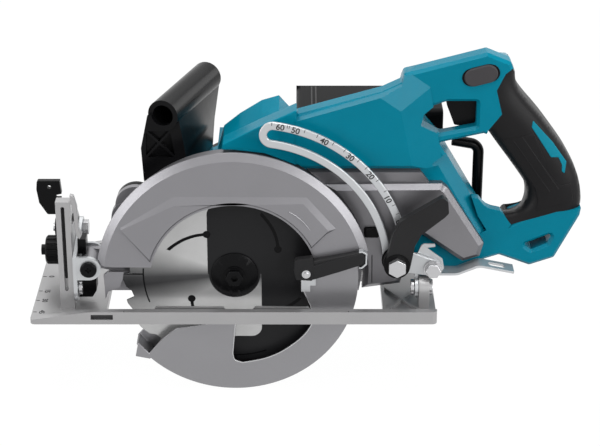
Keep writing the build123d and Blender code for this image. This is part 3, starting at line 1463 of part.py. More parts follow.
with BuildPart() as terminal_block:
    with BuildSketch(side(rail_far_y - 2)):
        with Locations((mount_x + 4, mount_z)):
            Rectangle(7, 0.6 * foot_w, align=(Align.MIN, Align.CENTER))
    extrude(amount=rail_depth - 5)
terminal_block.part.label = "terminal_block"
export_step(terminal_block.part, "parts/terminal_block.step")

# Battery pack: a hollow case with a T-shaped foot, its cells and its release button
battery_wall = 2.5
cell_r = 10.5
cell_l = 70.0
cell_y = rail_far_y + (battery_w + 8) / 2
button_w = 30.0
release_travel = 4.0
release_y = rail_far_y + 14.0
with BuildPart() as battery_case:
    with BuildSketch(side(rail_far_y + battery_w)):
        with Locations((battery_x, battery_z)):
            Rectangle(battery_l, battery_h, align=(Align.MIN, Align.CENTER))
    extrude(amount=battery_w)
    fillet(battery_case.edges().filter_by(Axis.X), battery_r)
    fillet(battery_case.faces().sort_by(Axis.X)[-1].edges(), 2.0)
    with BuildSketch(side(rail_far_y)):
        with Locations((foot_x, mount_z)):
            Rectangle(foot_l, foot_w - 2 * foot_lip - 1, align=(Align.MIN, Align.CENTER))
    extrude(amount=rail_depth - 3 - foot_gap)
    with BuildSketch(side(mount_y + 3 + foot_gap + foot_t)):
        for lip_x in lip_starts:
            with Locations((lip_x, mount_z)):
                Rectangle(lip_l - 0.5, foot_w, align=(Align.MIN, Align.CENTER))
    extrude(amount=foot_t)
    with BuildSketch(side(rail_far_y + battery_w - battery_wall)):
        with Locations((battery_x + battery_l / 2, battery_z)):
            Rectangle(battery_l - 2 * battery_wall - 6, cell_l + 0.4)
    extrude(amount=battery_w - 2 * battery_wall - 8, mode=Mode.SUBTRACT)
    with BuildSketch(across(battery_x + battery_l)):
        with Locations((release_y, battery_z)):
            RectangleRounded(13 + 2 * slide_gap, button_w + 2 * slide_gap, 2.5)
    extrude(amount=-5.5, mode=Mode.SUBTRACT)
battery_case.part.label = "battery_case"
export_step(battery_case.part, "parts/battery_case.step")
with BuildPart() as battery_cells:
    with BuildSketch(Plane.XY.offset(battery_z - cell_l / 2)):
        with Locations((battery_x + battery_l / 2, cell_y)):
            with GridLocations(2 * cell_r + 0.5, 2 * cell_r + 0.5, 5, 2):
                Circle(cell_r)
    extrude(amount=cell_l)
battery_cells.part.label = "battery_cells"
export_step(battery_cells.part, "parts/battery_cells.step")
with BuildPart() as battery_release:
    with BuildSketch(across(battery_x + battery_l - 5.0 + release_travel)):
        with Locations((release_y, battery_z)):
            RectangleRounded(13, button_w, 2.2)
    extrude(amount=3.5)
battery_release.part.label = "battery_release"
export_step(battery_release.part, "parts/battery_release.step")

# Rafter hook: a bent rod turning in a bracket on the far shell
with BuildPart() as rafter_hook:
    with BuildLine():
        hook_path = FilletPolyline(
            (hook_x - hook_run, hook_y, hook_z), (hook_x, hook_y, hook_z), (hook_x, hook_y, hook_z + hook_reach),
            (hook_x - hook_tip, hook_y, hook_z + hook_reach + 4), radius=8,
        )
    with BuildSketch(Plane(origin=(hook_x - hook_run, hook_y, hook_z), z_dir=(1, 0, 0))):
        Circle(hook_r)
    sweep(path=hook_path)
rafter_hook.part.label = "rafter_hook"
export_step(rafter_hook.part, "parts/rafter_hook.step")
with BuildPart() as hook_bracket:
    with BuildSketch(across(hook_x - hook_run + 8)):
        with Locations((shell_far_y, hook_z)):
            Rectangle(2 * hook_r + 4.5, 2 * hook_r + 8, align=(Align.MIN, Align.CENTER))
        with Locations((hook_y, hook_z)):
            Circle(hook_r + running_gap, mode=Mode.SUBTRACT)
    extrude(amount=24)
hook_bracket.part.label = "hook_bracket"
export_step(hook_bracket.part, "parts/hook_bracket.step")

# Front handle: a closed fin under a round bar, from the guard's far wall to the motor housing's pad
handle_near_y = body_y
handle_far_y = pad_y + pad_w
handle_foot_z = handle_screw[1] - 3.0
fin_pocket = [(-70.5, 97), (-47, 97), (-50.5, 119.5), (-70, 119.5)]
fin_rib = 1.8
fin_depth = 4.0
near_bar = at(-56, 133)
far_bar = at(-25, 134)
bar_reach = (far_bar[0] - near_bar[0], handle_far_y - handle_near_y, far_bar[1] - near_bar[1])
with BuildPart() as front_handle:
    with BuildSketch(side(handle_near_y)):
        Polygon(
            (arbor_x - 73, handle_foot_z), (arbor_x - 38, handle_foot_z), at(-38, 96), at(-44, 133), at(-68.5, 133),
            at(-74.5, 105), align=None,
        )
    with BuildSketch(side(handle_far_y)):
        Polygon(at(-34, 71), at(-21, 71), at(-19, 96), at(-13.5, 134), at(-36.5, 134), at(-37, 102), align=None)
    loft(ruled=True)
    with BuildSketch(Plane.XY.offset(pad_top)):
        with Locations((pad_x, pad_y + pad_w / 2)):
            Rectangle(60, pad_w)
    extrude(amount=-20, mode=Mode.SUBTRACT)
    with BuildSketch(Plane(origin=(near_bar[0], handle_near_y, near_bar[1]), z_dir=bar_reach)):
        Circle(handle_bar_r)
    extrude(amount=hypot(hypot(bar_reach[0], bar_reach[1]), bar_reach[2]))
    with BuildSketch(Plane(origin=(near_bar[0], handle_near_y, near_bar[1]), z_dir=bar_reach)):
        Circle(handle_bore_r)
    extrude(amount=40, both=True, mode=Mode.SUBTRACT)
    with Locations(*[(x, y, pad_top) for x, y in pad_screws]):
        Cylinder(screw_r, stud_l / 2, align=(Align.CENTER, Align.CENTER, Align.MIN), mode=Mode.SUBTRACT)
    with BuildSketch(side(handle_near_y)):
        with Locations(handle_screw):
            Circle(screw_r)
    extrude(amount=-12, mode=Mode.SUBTRACT)
    with BuildSketch(side(handle_near_y)):
        Polygon(*[at(*p) for p in fin_pocket], align=None)
        for (x_a, z_a), (x_b, z_b) in (fin_pocket[::2], fin_pocket[1::2]):
            with Locations(at((x_a + x_b) / 2, (z_a + z_b) / 2)):
                Rectangle(60, fin_rib, rotation=degrees(atan2(z_b - z_a, x_b - x_a)), mode=Mode.SUBTRACT)
    extrude(amount=-fin_depth, mode=Mode.SUBTRACT)
front_handle.part.label = "front_handle"
export_step(front_handle.part, "parts/front_handle.step")
with BuildPart() as front_handle_screws:
    with Locations(*[(x, y, pad_top) for x, y in pad_screws]):
        Cylinder(screw_r, stud_l)
    with BuildSketch(side(handle_near_y + 12)):
        with Locations(handle_screw):
            Circle(screw_r)
    extrude(amount=12 + web_t)
    with BuildSketch(side(web_y)):
        with Locations(handle_screw):
            Circle(screw_head_r)
    extrude(amount=2.2)
front_handle_screws.part.label = "front_handle_screws"
export_step(front_handle_screws.part, "parts/front_handle_screws.step")

# Work lamp behind the guard's lobe
lamp_r = 10.0
lamp_t = 14.0
lens_r = 4.5
lamp_x = lobe[0]
lamp_z = lobe[1] - lobe_r + lamp_r
with BuildPart() as lamp_housing:
    with BuildSketch(side(body_y + lamp_t)):
        with Locations((lamp_x, lamp_z)):
            Circle(lamp_r)
    extrude(amount=lamp_t)
    fillet(lamp_housing.edges().sort_by(Axis.Y)[-1], 2.0)
    with BuildSketch(Plane.XY.offset(lamp_z - lamp_r - 2)):
        with Locations((lamp_x, body_y + lamp_t / 2)):
            Circle(lens_r)
    extrude(amount=8, mode=Mode.SUBTRACT)
lamp_housing.part.label = "lamp_housing"
export_step(lamp_housing.part, "parts/lamp_housing.step")
with BuildPart() as lamp_lens:
    with BuildSketch(Plane.XY.offset(lamp_z - lamp_r + 1.6)):
        with Locations((lamp_x, body_y + lamp_t / 2)):
            Circle(lens_r)
    extrude(amount=4.4)
lamp_lens.part.label = "lamp_lens"
export_step(lamp_lens.part, "parts/lamp_lens.step")
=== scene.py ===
import json
import math

import bmesh
import bpy
from mathutils import Matrix, Vector


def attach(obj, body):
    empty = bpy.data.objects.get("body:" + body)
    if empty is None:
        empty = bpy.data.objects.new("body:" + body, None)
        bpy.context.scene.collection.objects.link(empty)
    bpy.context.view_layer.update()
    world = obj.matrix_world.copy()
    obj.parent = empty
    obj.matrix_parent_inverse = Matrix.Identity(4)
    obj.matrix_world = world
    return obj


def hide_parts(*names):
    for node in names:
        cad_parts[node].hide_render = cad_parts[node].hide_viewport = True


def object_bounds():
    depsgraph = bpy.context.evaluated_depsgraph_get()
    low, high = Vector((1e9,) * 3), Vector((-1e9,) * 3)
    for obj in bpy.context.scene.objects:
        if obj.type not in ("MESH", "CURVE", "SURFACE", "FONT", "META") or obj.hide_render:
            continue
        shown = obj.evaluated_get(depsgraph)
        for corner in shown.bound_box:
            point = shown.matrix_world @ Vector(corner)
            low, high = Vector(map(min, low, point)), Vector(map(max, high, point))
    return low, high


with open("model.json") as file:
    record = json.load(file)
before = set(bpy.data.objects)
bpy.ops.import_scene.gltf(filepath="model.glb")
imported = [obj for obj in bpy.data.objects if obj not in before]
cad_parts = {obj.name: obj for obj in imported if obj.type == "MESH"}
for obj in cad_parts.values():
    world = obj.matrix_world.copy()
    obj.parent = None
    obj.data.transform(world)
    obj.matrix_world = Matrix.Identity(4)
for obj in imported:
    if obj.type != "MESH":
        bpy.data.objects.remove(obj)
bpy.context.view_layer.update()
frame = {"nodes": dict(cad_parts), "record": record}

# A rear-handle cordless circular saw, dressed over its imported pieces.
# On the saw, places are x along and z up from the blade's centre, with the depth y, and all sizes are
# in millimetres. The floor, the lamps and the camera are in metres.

scene = bpy.context.scene
scene.view_settings.view_transform = "Standard"

ARBOR = Vector((0.118, 0.0, 0.030))  # in metres
SLOT_OF = {entry["node"]: entry["material_slot"] for entry in frame["record"]["subparts"]}
BODY_OF = {node: body for body, nodes in frame["record"]["behaviour"]["bodies"].items() for node in nodes}


class Value:
    """A socket of a node tree, with arithmetic that adds Math nodes."""

    def __init__(self, nodes, socket):
        self.nodes = nodes
        self.socket = socket

    def maths(self, operation, *terms):
        made = self.nodes.node("ShaderNodeMath", {"operation": operation},
                               **{str(place): term for place, term in enumerate(terms)})
        return Value(self.nodes, made.outputs[0])

    def __add__(self, other):
        return self.maths("ADD", self, other)

    __radd__ = __add__

    def __sub__(self, other):
        return self.maths("SUBTRACT", self, other)

    def __rsub__(self, other):
        return self.maths("SUBTRACT", other, self)

    def __mul__(self, other):
        return self.maths("MULTIPLY", self, other)

    __rmul__ = __mul__

    def __truediv__(self, other):
        return self.maths("DIVIDE", self, other)

    def __neg__(self):
        return self.maths("MULTIPLY", self, -1.0)

    def __abs__(self):
        return self.maths("ABSOLUTE", self)

    def __lt__(self, other):
        return self.maths("LESS_THAN", self, other)

    def __gt__(self, other):
        return self.maths("GREATER_THAN", self, other)

    def least(self, other):
        return self.maths("MINIMUM", self, other)

    def most(self, other):
        return self.maths("MAXIMUM", self, other)

    def root(self):
        return self.maths("SQRT", self)

    def clipped(self):
        return self.least(1.0).most(0.0)


def far_from(x, z):
    """Distance of two values from the origin."""
    return (x * x + z * z).root()


def outside_box(x, z, left, right, low, high, corner):
    """Distance out of a box with rounded corners, negative inside it."""
    across = abs(x - (left + right) / 2) - ((right - left) / 2 - corner)
    up = abs(z - (low + high) / 2) - ((high - low) / 2 - corner)
    return far_from(across.most(0.0), up.most(0.0)) + across.most(up).least(0.0) - corner


class Nodes:
    """The node tree of a finish or of the studio's surround."""

    def __init__(self, tree):
        self.tree = tree
        self.tree.nodes.clear()

    def node(self, kind, settings=None, **sockets):
        """Makes one node: its settings first, then each socket's value or link."""
        made = self.tree.nodes.new(kind)
        for name, value in (settings or {}).items():
            setattr(made, name, value)
        for name, value in sockets.items():
            self.feed(made.inputs[int(name)] if name.isdigit() else made.inputs[name.replace("_", " ")], value)
        return made

    def feed(self, socket, value):
        """Links a socket to a value, or sets it where the value is a number or a colour."""
        if isinstance(value, Value):
            self.tree.links.new(value.socket, socket)
        elif isinstance(value, bpy.types.NodeSocket):
            self.tree.links.new(value, socket)
        elif isinstance(value, tuple) and socket.type == "RGBA":
            socket.default_value = (*value, 1.0)
        else:
            socket.default_value = value

    def blended(self, mask, low, high):
        """One shader below a mask and another above it."""
        made = self.node("ShaderNodeMixShader", **{"0": mask, "1": low.outputs[0], "2": high.outputs[0]})
        return made.outputs[0]

    def seen(self):
        """1 for what the camera sees straight on, in a mirror or through glass, and 0 for other light."""
        ray = self.node("ShaderNodeLightPath")
        straight, mirrored, through = [
            Value(self, ray.outputs[kind]) for kind in ("Is Camera Ray", "Is Glossy Ray", "Is Transmission Ray")
        ]
        return straight.most(mirrored).most(through)


class Finish(Nodes):
    """A procedural material, with its Principled shader ready."""

    def __init__(self, name, **sockets):
        self.material = bpy.data.materials.new(name)
        self.material.use_nodes = True
        super().__init__(self.material.node_tree)
        self.shader = self.node("ShaderNodeBsdfPrincipled", **sockets)
        self.output = self.node("ShaderNodeOutputMaterial", Surface=self.shader.outputs[0])

    def place(self):
        """The point on the piece, in metres from the model's origin."""
        return self.node("ShaderNodeTexCoord").outputs["Object"]

    def axes(self, centre):
        """The three coordinates of the point, in metres from a centre."""
        moved = self.node("ShaderNodeVectorMath", {"operation": "SUBTRACT"},
                          **{"0": self.place(), "1": tuple(centre)})
        split = self.node("ShaderNodeSeparateXYZ", Vector=moved.outputs[0])
        return [Value(self, output) for output in split.outputs]

    def noise(self, scale, detail, rough=0.5, where=None):
        """Noise from 0 to 1, at a scale in cells to the metre."""
        made = self.node("ShaderNodeTexNoise", Vector=where or self.place(), Scale=scale, Detail=detail,
                         Roughness=rough)
        return Value(self, made.outputs["Fac"])

    def mix(self, mask, low, high):
        """A colour between two, by a mask."""
        made = self.node("ShaderNodeMix", {"data_type": "RGBA"}, **{"0": mask, "6": low, "7": high})
        return made.outputs[2]

    def set(self, **sockets):
        for name, value in sockets.items():
            self.feed(self.shader.inputs[name.replace("_", " ")], value)

    def bump(self, height, depth):
        """Raises the surface by a height from 0 to 1, to a depth."""
        made = self.node("ShaderNodeBump", Height=height, Distance=depth / 1000, Strength=1.0)
        self.set(Normal=made.outputs[0])


def toned(colour, share, lift=0.0):
    """A colour made darker or lighter by a share."""
    return tuple(min(share * part + lift, 1.0) for part in colour)


def moulded(name, colour, roughness, grain=2600.0, depth=0.03, shine=0.5):
    """Moulded plastic with a fine spark grain and slight unevenness."""
    finish = Finish(name, Specular_IOR_Level=shine)
    cloud = finish.noise(38.0, 3.0)
    fine = finish.noise(grain, 2.0)
    finish.set(
        Base_Color=finish.mix(cloud, toned(colour, 0.888), toned(colour, 1.07, lift=0.001)),
        Roughness=roughness + 0.14 * (fine - 0.5) + 0.08 * (cloud - 0.5),
    )
    finish.bump(fine, depth)
    return finish.material


def cast_metal(name, colour, metallic, roughness, depth=0.04, shine=0.5, wear=1.0):
    """Die-cast metal under clear paint: fine grain, faint clouding and small scuffs."""
    finish = Finish(name, Specular_IOR_Level=shine, Metallic=metallic)
    cloud = finish.noise(22.0, 4.0)
    grain = finish.noise(1500.0, 3.0)
    darker, lighter = toned(colour, 1 - 0.12 * wear), toned(colour, 1 + 0.07 * wear)
    finish.set(
        Base_Color=finish.mix(0.6 * cloud + 0.4 * grain, darker, lighter),
        Roughness=roughness + 0.16 * wear * (grain - 0.5) + 0.1 * (cloud - 0.5),
    )
    finish.bump(grain, depth)
    return finish.material


def bright_metal(name, colour, roughness, metallic=1.0):
    """Bright or ground steel, finely mottled."""
    finish = Finish(name, Metallic=metallic)
    fine = finish.noise(420.0, 2.0)
    cloud = finish.noise(60.0, 3.0)
    finish.set(
        Base_Color=finish.mix(0.5 * fine + 0.5 * cloud, toned(colour, 0.9), colour),
        Roughness=roughness + 0.1 * (fine - 0.5),
    )
    finish.bump(fine, 0.004)
    return finish.material


PRINT_LEFT = -22.0
UPPER_PRINT = (PRINT_LEFT, 150.0, -20.0, 61.5, 8.0)
BARE_POCKET = (-60.0, 22.0, -57.0, 12.0, 8.5)
FLANGE_RING = 21.0
BLADE_SKIN = -0.6


def saw_blade():
    """Ground steel brushed in circles, with a painted highlight above and below the arbor and painted shade in
    a band at its height, and a black printed field on the near face.
    """
    finish = Finish("blade_steel", Specular_IOR_Level=0.14)
    x, y, z = [part * 1000.0 for part in finish.axes(ARBOR)]
    reach = far_from(x, z)

    # The field fills a box above the arbor and what lies below it, round a bare pocket
    upper = outside_box(x, z, *UPPER_PRINT)
    pocket = outside_box(x, z, *BARE_POCKET)
    lower = (PRINT_LEFT - x).most(z).most(-pocket)
    bare = (upper < 0.0) * (z < 0.0) * (pocket < 0.0) * (reach > FLANGE_RING)
    printed = (upper.least(reach - FLANGE_RING).least(lower) < 0.0) * (y < BLADE_SKIN) * (1.0 - bare)

    # Brushed rings, and a painted sheen about the arbor: painted highlight above and below it, painted shade in
    # a band at its height, turning with the blade
    rings = finish.node("ShaderNodeCombineXYZ", X=reach * 9.0, Y=0.0, Z=0.0)
    brush = finish.noise(1.0, 4.0, 0.7, where=rings.outputs[0])
    uneven = 0.6 * brush + 0.4 * finish.noise(45.0, 3.0)
    painted_sheen = (abs(z / reach + 0.08) * 2.6 - 0.12).clipped()
    # Painted shade and painted highlight, as a darker and a lighter copy of the brushed steel
    painted_dark_band = finish.mix(uneven, (0.045, 0.045, 0.046), (0.096, 0.096, 0.099))
    bright = finish.mix(uneven, (0.38, 0.38, 0.38), (0.66, 0.66, 0.655))
    finish.set(
        Base_Color=finish.mix(printed, finish.mix(painted_sheen, painted_dark_band, bright), (0.0135, 0.0135, 0.0145)),
        Metallic=0.5 * (1.0 - printed),
        Roughness=0.24 + 0.12 * (brush - 0.5) + 0.1 * printed,
    )

    # Each ring leans a little towards or away from the arbor
    lean = 0.8 * (brush - 0.5) * (1.0 - printed)
    outward = finish.node("ShaderNodeCombineXYZ", X=x / reach * lean, Y=0.0, Z=z / reach * lean)
    turned = finish.node("ShaderNodeVectorTransform",
                         {"vector_type": "VECTOR", "convert_from": "OBJECT", "convert_to": "WORLD"},
                         Vector=outward.outputs[0])
    facing = finish.node("ShaderNodeNewGeometry").outputs["Normal"]
    leaning = finish.node("ShaderNodeVectorMath", {"operation": "ADD"}, **{"0": facing, "1": turned.outputs[0]})
    straight = finish.node("ShaderNodeVectorMath", {"operation": "NORMALIZE"}, **{"0": leaning.outputs[0]})
    finish.set(Normal=straight.outputs[0])
    return finish.material


teal = moulded("teal_plastic", (0.0, 0.1905, 0.279), 0.26, depth=0.014, shine=0.09)
soft_teal = moulded("teal_inlay", (0.0, 0.1905, 0.27), 0.5, shine=0.08)
black = moulded("black_plastic", (0.0045, 0.0045, 0.0049), 0.27, depth=0.016, shine=0.08)
gloss = moulded("gloss_black", (0.0037, 0.0037, 0.0042), 0.24, depth=0.005, shine=0.09)
charcoal = moulded("dark_plastic", (0.021, 0.0207, 0.0215), 0.4, shine=0.1)
battery_black = moulded("battery_plastic", (0.006, 0.006, 0.0065), 0.42, shine=0.04)
grey = moulded("grey_plastic", (0.051, 0.048, 0.051), 0.42, shine=0.15)
rubber = moulded("grip_rubber", (0.0097, 0.0093, 0.0099), 0.4, grain=1700.0, depth=0.05, shine=0.11)
magnesium = cast_metal("cast_magnesium", (0.24, 0.2364, 0.2496), 0.62, 0.36)
alloy = cast_metal("bare_alloy", (0.372, 0.3684, 0.372), 0.62, 0.36)
guard_alloy = cast_metal("satin_alloy", (0.2856, 0.2832, 0.2951), 0.66, 0.38)
plated = cast_metal("plated_steel", (0.516, 0.528, 0.54), 0.6, 0.3, depth=0.001, wear=0.2)
steel = bright_metal("bright_steel", (0.54, 0.54, 0.5508), 0.22, metallic=0.85)
ground = bright_metal("hard_steel", (0.428, 0.428, 0.4387), 0.34)
oxide = cast_metal("black_steel", (0.006, 0.006, 0.0066), 0.3, 0.24, shine=0.1)
copper = bright_metal("coil_copper", (0.6, 0.27, 0.12), 0.4)
board = moulded("board_green", (0.03, 0.12, 0.06), 0.5)
sleeve = moulded("cell_sleeve", (0.05, 0.2, 0.3), 0.3)
lens = moulded("lens_clear", (0.8, 0.82, 0.85), 0.12)
ink = moulded("mark_ink", (0.008, 0.008, 0.009), 0.6)
blade_finish = saw_blade()
# A darker copy of the cast magnesium, as painted shade on the side cover and the gear case
cover_paint = cast_metal("cover_paint", (0.1972, 0.1937, 0.2042), 0.76, 0.36)

FINISHES = {
    "teal_plastic": teal, "black_plastic": black, "dark_plastic": charcoal, "lock_plastic": charcoal,
    "grip_rubber": rubber, "cast_magnesium": magnesium, "plated_steel": plated, "black_steel": oxide,
    "bright_steel": steel, "hard_steel": ground, "blade_steel": blade_finish, "coil_copper": copper,
    "fan_plastic": charcoal, "board_green": board, "cell_sleeve": sleeve, "lens_clear": lens,
}


def at(x, z, y):
    """The point x along and z up from the arbor, at the depth y."""
    return Vector((ARBOR.x + x / 1000, y / 1000, ARBOR.z + z / 1000))


def place_of(v):
    """A vertex's x along and z up from the arbor, and its depth y."""
    return (v.co.x - ARBOR.x) * 1000, (v.co.z - ARBOR.z) * 1000, v.co.y * 1000


HARD, SHALLOW, FLAT_ENOUGH, SMOOTH = [math.radians(turn) for turn in (28, 5, 0.6, 31)]
CREASE_LENGTH, CREASE_SLOPE = 9.0, 0.6


def ease(solid, edges, size, segments=2, held=True):
    """Rounds the given edges, held back where they would run into others."""
    bmesh.ops.bevel(solid, geom=edges, offset=size / 1000, offset_type="OFFSET", segments=segments, profile=0.5,
                    affect="EDGES", clamp_overlap=held, material=-1)


def hard_edges(solid):
    return [e for e in solid.edges if e.is_manifold and e.calc_face_angle() > HARD]


def creases(solid):
    """The long shallow edges between flat faces, other than those along the depth."""
    return [e for e in solid.edges if e.is_manifold and SHALLOW < e.calc_face_angle() <= HARD
            and e.calc_length() > CREASE_LENGTH / 1000
            and abs(e.verts[0].co.y - e.verts[1].co.y) < CREASE_SLOPE * e.calc_length()]


def edges_near(solid, wanted, slack=0.4):
    """The hard edges whose ends lie at a wanted place, where None stands for any x, z or y."""
    def there(v):
        return all(goal is None or abs(part - goal) < slack for part, goal in zip(place_of(v), wanted))
    return [e for e in hard_edges(solid) if there(e.verts[0]) and there(e.verts[1])]


def dress(name, solid, finish, body):
    """Makes a finished piece of a solid and lets it ride its body."""
    mesh = bpy.data.meshes.new(name)
    solid.to_mesh(mesh)
    solid.free()
    mesh.shade_smooth()
    mesh.set_sharp_from_angle(angle=SMOOTH)
    mesh.materials.append(finish)
    piece = bpy.data.objects.new(name, mesh)
    scene.collection.objects.link(piece)
    even = piece.modifiers.new("even", "WEIGHTED_NORMAL")
    even.keep_sharp = True
    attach(piece, body)
    return piece


def copied(node):
    """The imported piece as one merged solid."""
    solid = bmesh.new()
    solid.from_mesh(frame["nodes"][node].data)
    bmesh.ops.remove_doubles(solid, verts=solid.verts, dist=2e-6)
    bmesh.ops.dissolve_limit(solid, angle_limit=FLAT_ENOUGH, verts=solid.verts, edges=solid.edges)
    return solid


def stand_for(node, solid, finish=None):
    """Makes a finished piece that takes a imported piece's place."""
    piece = dress(node + "_finished", solid, finish or FINISHES[SLOT_OF[node]], BODY_OF[node])
    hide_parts(node)


def cut_plate(solid, outline, near, far):
    """Adds a flat piece cut to an outline of x, z points, from one depth to another."""
    face = solid.faces.new([solid.verts.new(at(x, z, far)) for x, z in outline])
    grown = bmesh.ops.extrude_face_region(solid, geom=[face])["geom"]
    moved = [v for v in grown if isinstance(v, bmesh.types.BMVert)]
    bmesh.ops.translate(solid, vec=(0, (near - far) / 1000, 0), verts=moved)
    bmesh.ops.recalc_face_normals(solid, faces=solid.faces)


def plate(name, outline, near, far, finish, body, edge=0.3, segments=2):
    solid = bmesh.new()
    cut_plate(solid, outline, near, far)
    ease(solid, hard_edges(solid), edge, segments)
    dress(name, solid, finish, body)


def add_disc(solid, x, z, near, far, radius, sides=48):
    """Adds a round piece, or one of a few sides, on an axis along the depth."""
    place = Matrix.Translation(at(x, z, (near + far) / 2)) @ Matrix.Rotation(math.radians(-90), 4, "X")
    bmesh.ops.create_cone(solid, cap_ends=True, segments=sides, radius1=radius / 1000, radius2=radius / 1000,
                          depth=(far - near) / 1000, matrix=place)


def disc(name, x, z, near, far, radius, finish, slot, body, edge, sides=48):
    solid = bmesh.new()
    add_disc(solid, x, z, near, far, radius, sides)
    ease(solid, hard_edges(solid), edge)
    dress(name, solid, finish, body)


def add_curve(solid, curve):
    """Adds a curve or text to a solid, as mesh."""
    holder = bpy.data.objects.new("line", curve)
    mesh = bpy.data.meshes.new_from_object(holder)
    solid.from_mesh(mesh)
    bpy.data.objects.remove(holder)
    bpy.data.meshes.remove(mesh)
    bpy.data.curves.remove(curve)


def add_rod(solid, points, radius, sides=2):
    """Adds a round rod along points."""
    curve = bpy.data.curves.new("line", "CURVE")
    curve.dimensions = "3D"
    curve.bevel_depth = radius / 1000
    curve.bevel_resolution = sides
    curve.use_fill_caps = True
    spline = curve.splines.new("POLY")
    spline.points.add(len(points) - 1)
    for point, spot in zip(spline.points, points):
        point.co = (*spot, 1.0)
    add_curve(solid, curve)


def rods(name, lines, radius, finish, body):
    solid = bmesh.new()
    for line in lines:
        add_rod(solid, line, radius)
    dress(name, solid, finish, body)


INK_THICKNESS, INK_SPREAD = 0.04, 0.022


def add_number(solid, figure, place, height, turn):
    """Adds a plain number, thin as ink, at a place."""
    curve = bpy.data.curves.new("figure", "FONT")
    curve.body = figure
    curve.size = height / 1000
    curve.align_x = "CENTER"
    curve.align_y = "CENTER"
    curve.extrude = INK_THICKNESS / 1000
    curve.offset = INK_SPREAD * height / 1000
    before = set(solid.verts)
    add_curve(solid, curve)
    fresh = [v for v in solid.verts if v not in before]
    bmesh.ops.transform(solid, matrix=Matrix.Translation(place) @ turn, verts=fresh)


def between(a, b, c, d, t):
    """A number t of the way from b to c, on a curve that heeds a before them and d after."""
    return b + 0.5 * t * (c - a + t * (2 * a - 5 * b + 4 * c - d + t * (3 * (b - c) + d - a)))


def flowing(points, steps=4):
    """Points along a smooth line through the given ones."""
    ends = [points[0], *points, points[-1]]
    line = []
    for four in zip(ends, ends[1:], ends[2:], ends[3:]):
        line += [tuple(between(*parts, step / steps) for parts in zip(*four)) for step in range(steps)]
    return line + [points[-1]]


def on_ring(x, z, radius, turn):
    """A point on a ring about a centre, at an angle."""
    return x + radius * math.cos(math.radians(turn)), z + radius * math.sin(math.radians(turn))


def half_round(x, z, radius, first, steps=12):
    """Points on half a ring about a centre, from an angle on."""
    return [on_ring(x, z, radius, first + 180 * step / steps) for step in range(steps + 1)]


def capsule(x, z, length, height, lean):
    """The outline of a slot-shaped plate about a centre, leaning by an angle."""
    reach = (length - height) / 2
    ends = [on_ring(x, z, reach, lean), on_ring(x, z, -reach, lean)]
    return half_round(*ends[0], height / 2, lean - 90) + half_round(*ends[1], height / 2, lean + 90)


# Rubber grip, falling away in a round along both long sides
GRIP_OUTER = flowing([
    (284, 52), (284, 58), (282.4, 68.7), (278.6, 81.0), (270.2, 96.8), (263.6, 107.0), (255.8, 117.8),
    (249.0, 126.9), (241.8, 135.8), (233.8, 145.0), (228.0, 153.0), (225.6, 160), (225, 166),
])
GRIP_INNER = flowing([
    (206.2, 115), (214, 104), (222, 93), (230, 81.8), (237.0, 71), (239.6, 63), (237.5, 56), (231.5, 51.2),
    (224, 49.2), (217.2, 49.6),
])
GRIP_TOP = [(221.5, 172), (216.5, 168), (210, 154), (215, 134), (204.5, 120)]
GRIP_LOW = [(226.7, 37.3), (264, 49), (282, 51)]
GRIP_SIDES = (15, 55)
GRIP_SPAN = ((Vector((1, 0, 0)), 197, 287), (Vector((0, 0, 1)), 32, 176))
GRIP_ROUNDS = ((GRIP_OUTER, 19), (GRIP_INNER, 18))
ROUND_DEPTH = 12
PARTING = 35


def off_line(v, line):
    """Distance of a vertex from a line of points, seen along the depth."""
    spot = Vector((v.co.x, 0, v.co.z))
    least = math.inf
    for a, b in zip(line, line[1:]):
        start, run = at(*a, 0), at(*b, 0) - at(*a, 0)
        along = clipped((spot - start).dot(run) / run.length_squared)
        least = min(least, (spot - start - along * run).length)
    return least * 1000


def clipped(number):
    return min(max(number, 0.0), 1.0)


def on_grip(solid, pitch):
    """Cuts a solid into a fine grid and lets it fall with the grip's rounded sides."""
    for axis, first, last in GRIP_SPAN:
        for step in range(int((last - first) / pitch)):
            along = first + step * pitch
            bmesh.ops.bisect_plane(solid, geom=solid.verts[:] + solid.edges[:] + solid.faces[:], dist=1e-6,
                                   plane_co=at(along, along, 0), plane_no=axis)
    for v in solid.verts:
        share = max(clipped(1.0 - off_line(v, line) / reach) for line, reach in GRIP_ROUNDS)
        fall = ROUND_DEPTH / 1000 * (1.0 - math.sqrt(1.0 - share * share))
        v.co.y += fall if v.co.y < PARTING / 1000 else -fall


def on_grip_plate(name, outline, near, far, finish, edge):
    solid = bmesh.new()
    cut_plate(solid, outline, near, far)
    ease(solid, hard_edges(solid), edge)
    on_grip(solid, 4.6)
    dress(name, solid, finish, "saw")


grip = bmesh.new()
cut_plate(grip, GRIP_OUTER + GRIP_TOP + GRIP_INNER + GRIP_LOW, *GRIP_SIDES)
on_grip(grip, 2.3)

# Its inner side hangs lower towards the far side, just above the foot
HANG_TOP, TOP_FADE = 72, 18
HANG_LOW, LOW_FADE = 38, 8
HANG_END, HANG_REACH, HANG_SLOPE = 243, 12, 0.38
for v in grip.verts:
    x, z, y = place_of(v)
    if x < HANG_END:
        level = clipped((HANG_TOP - z) / TOP_FADE) * clipped((z - HANG_LOW) / LOW_FADE)
        beside = clipped(1.0 - off_line(v, GRIP_INNER) / HANG_REACH)
        v.co.z -= HANG_SLOPE * level * beside * max(y - GRIP_SIDES[0], 0) / 1000
stand_for("handle_grip", grip)

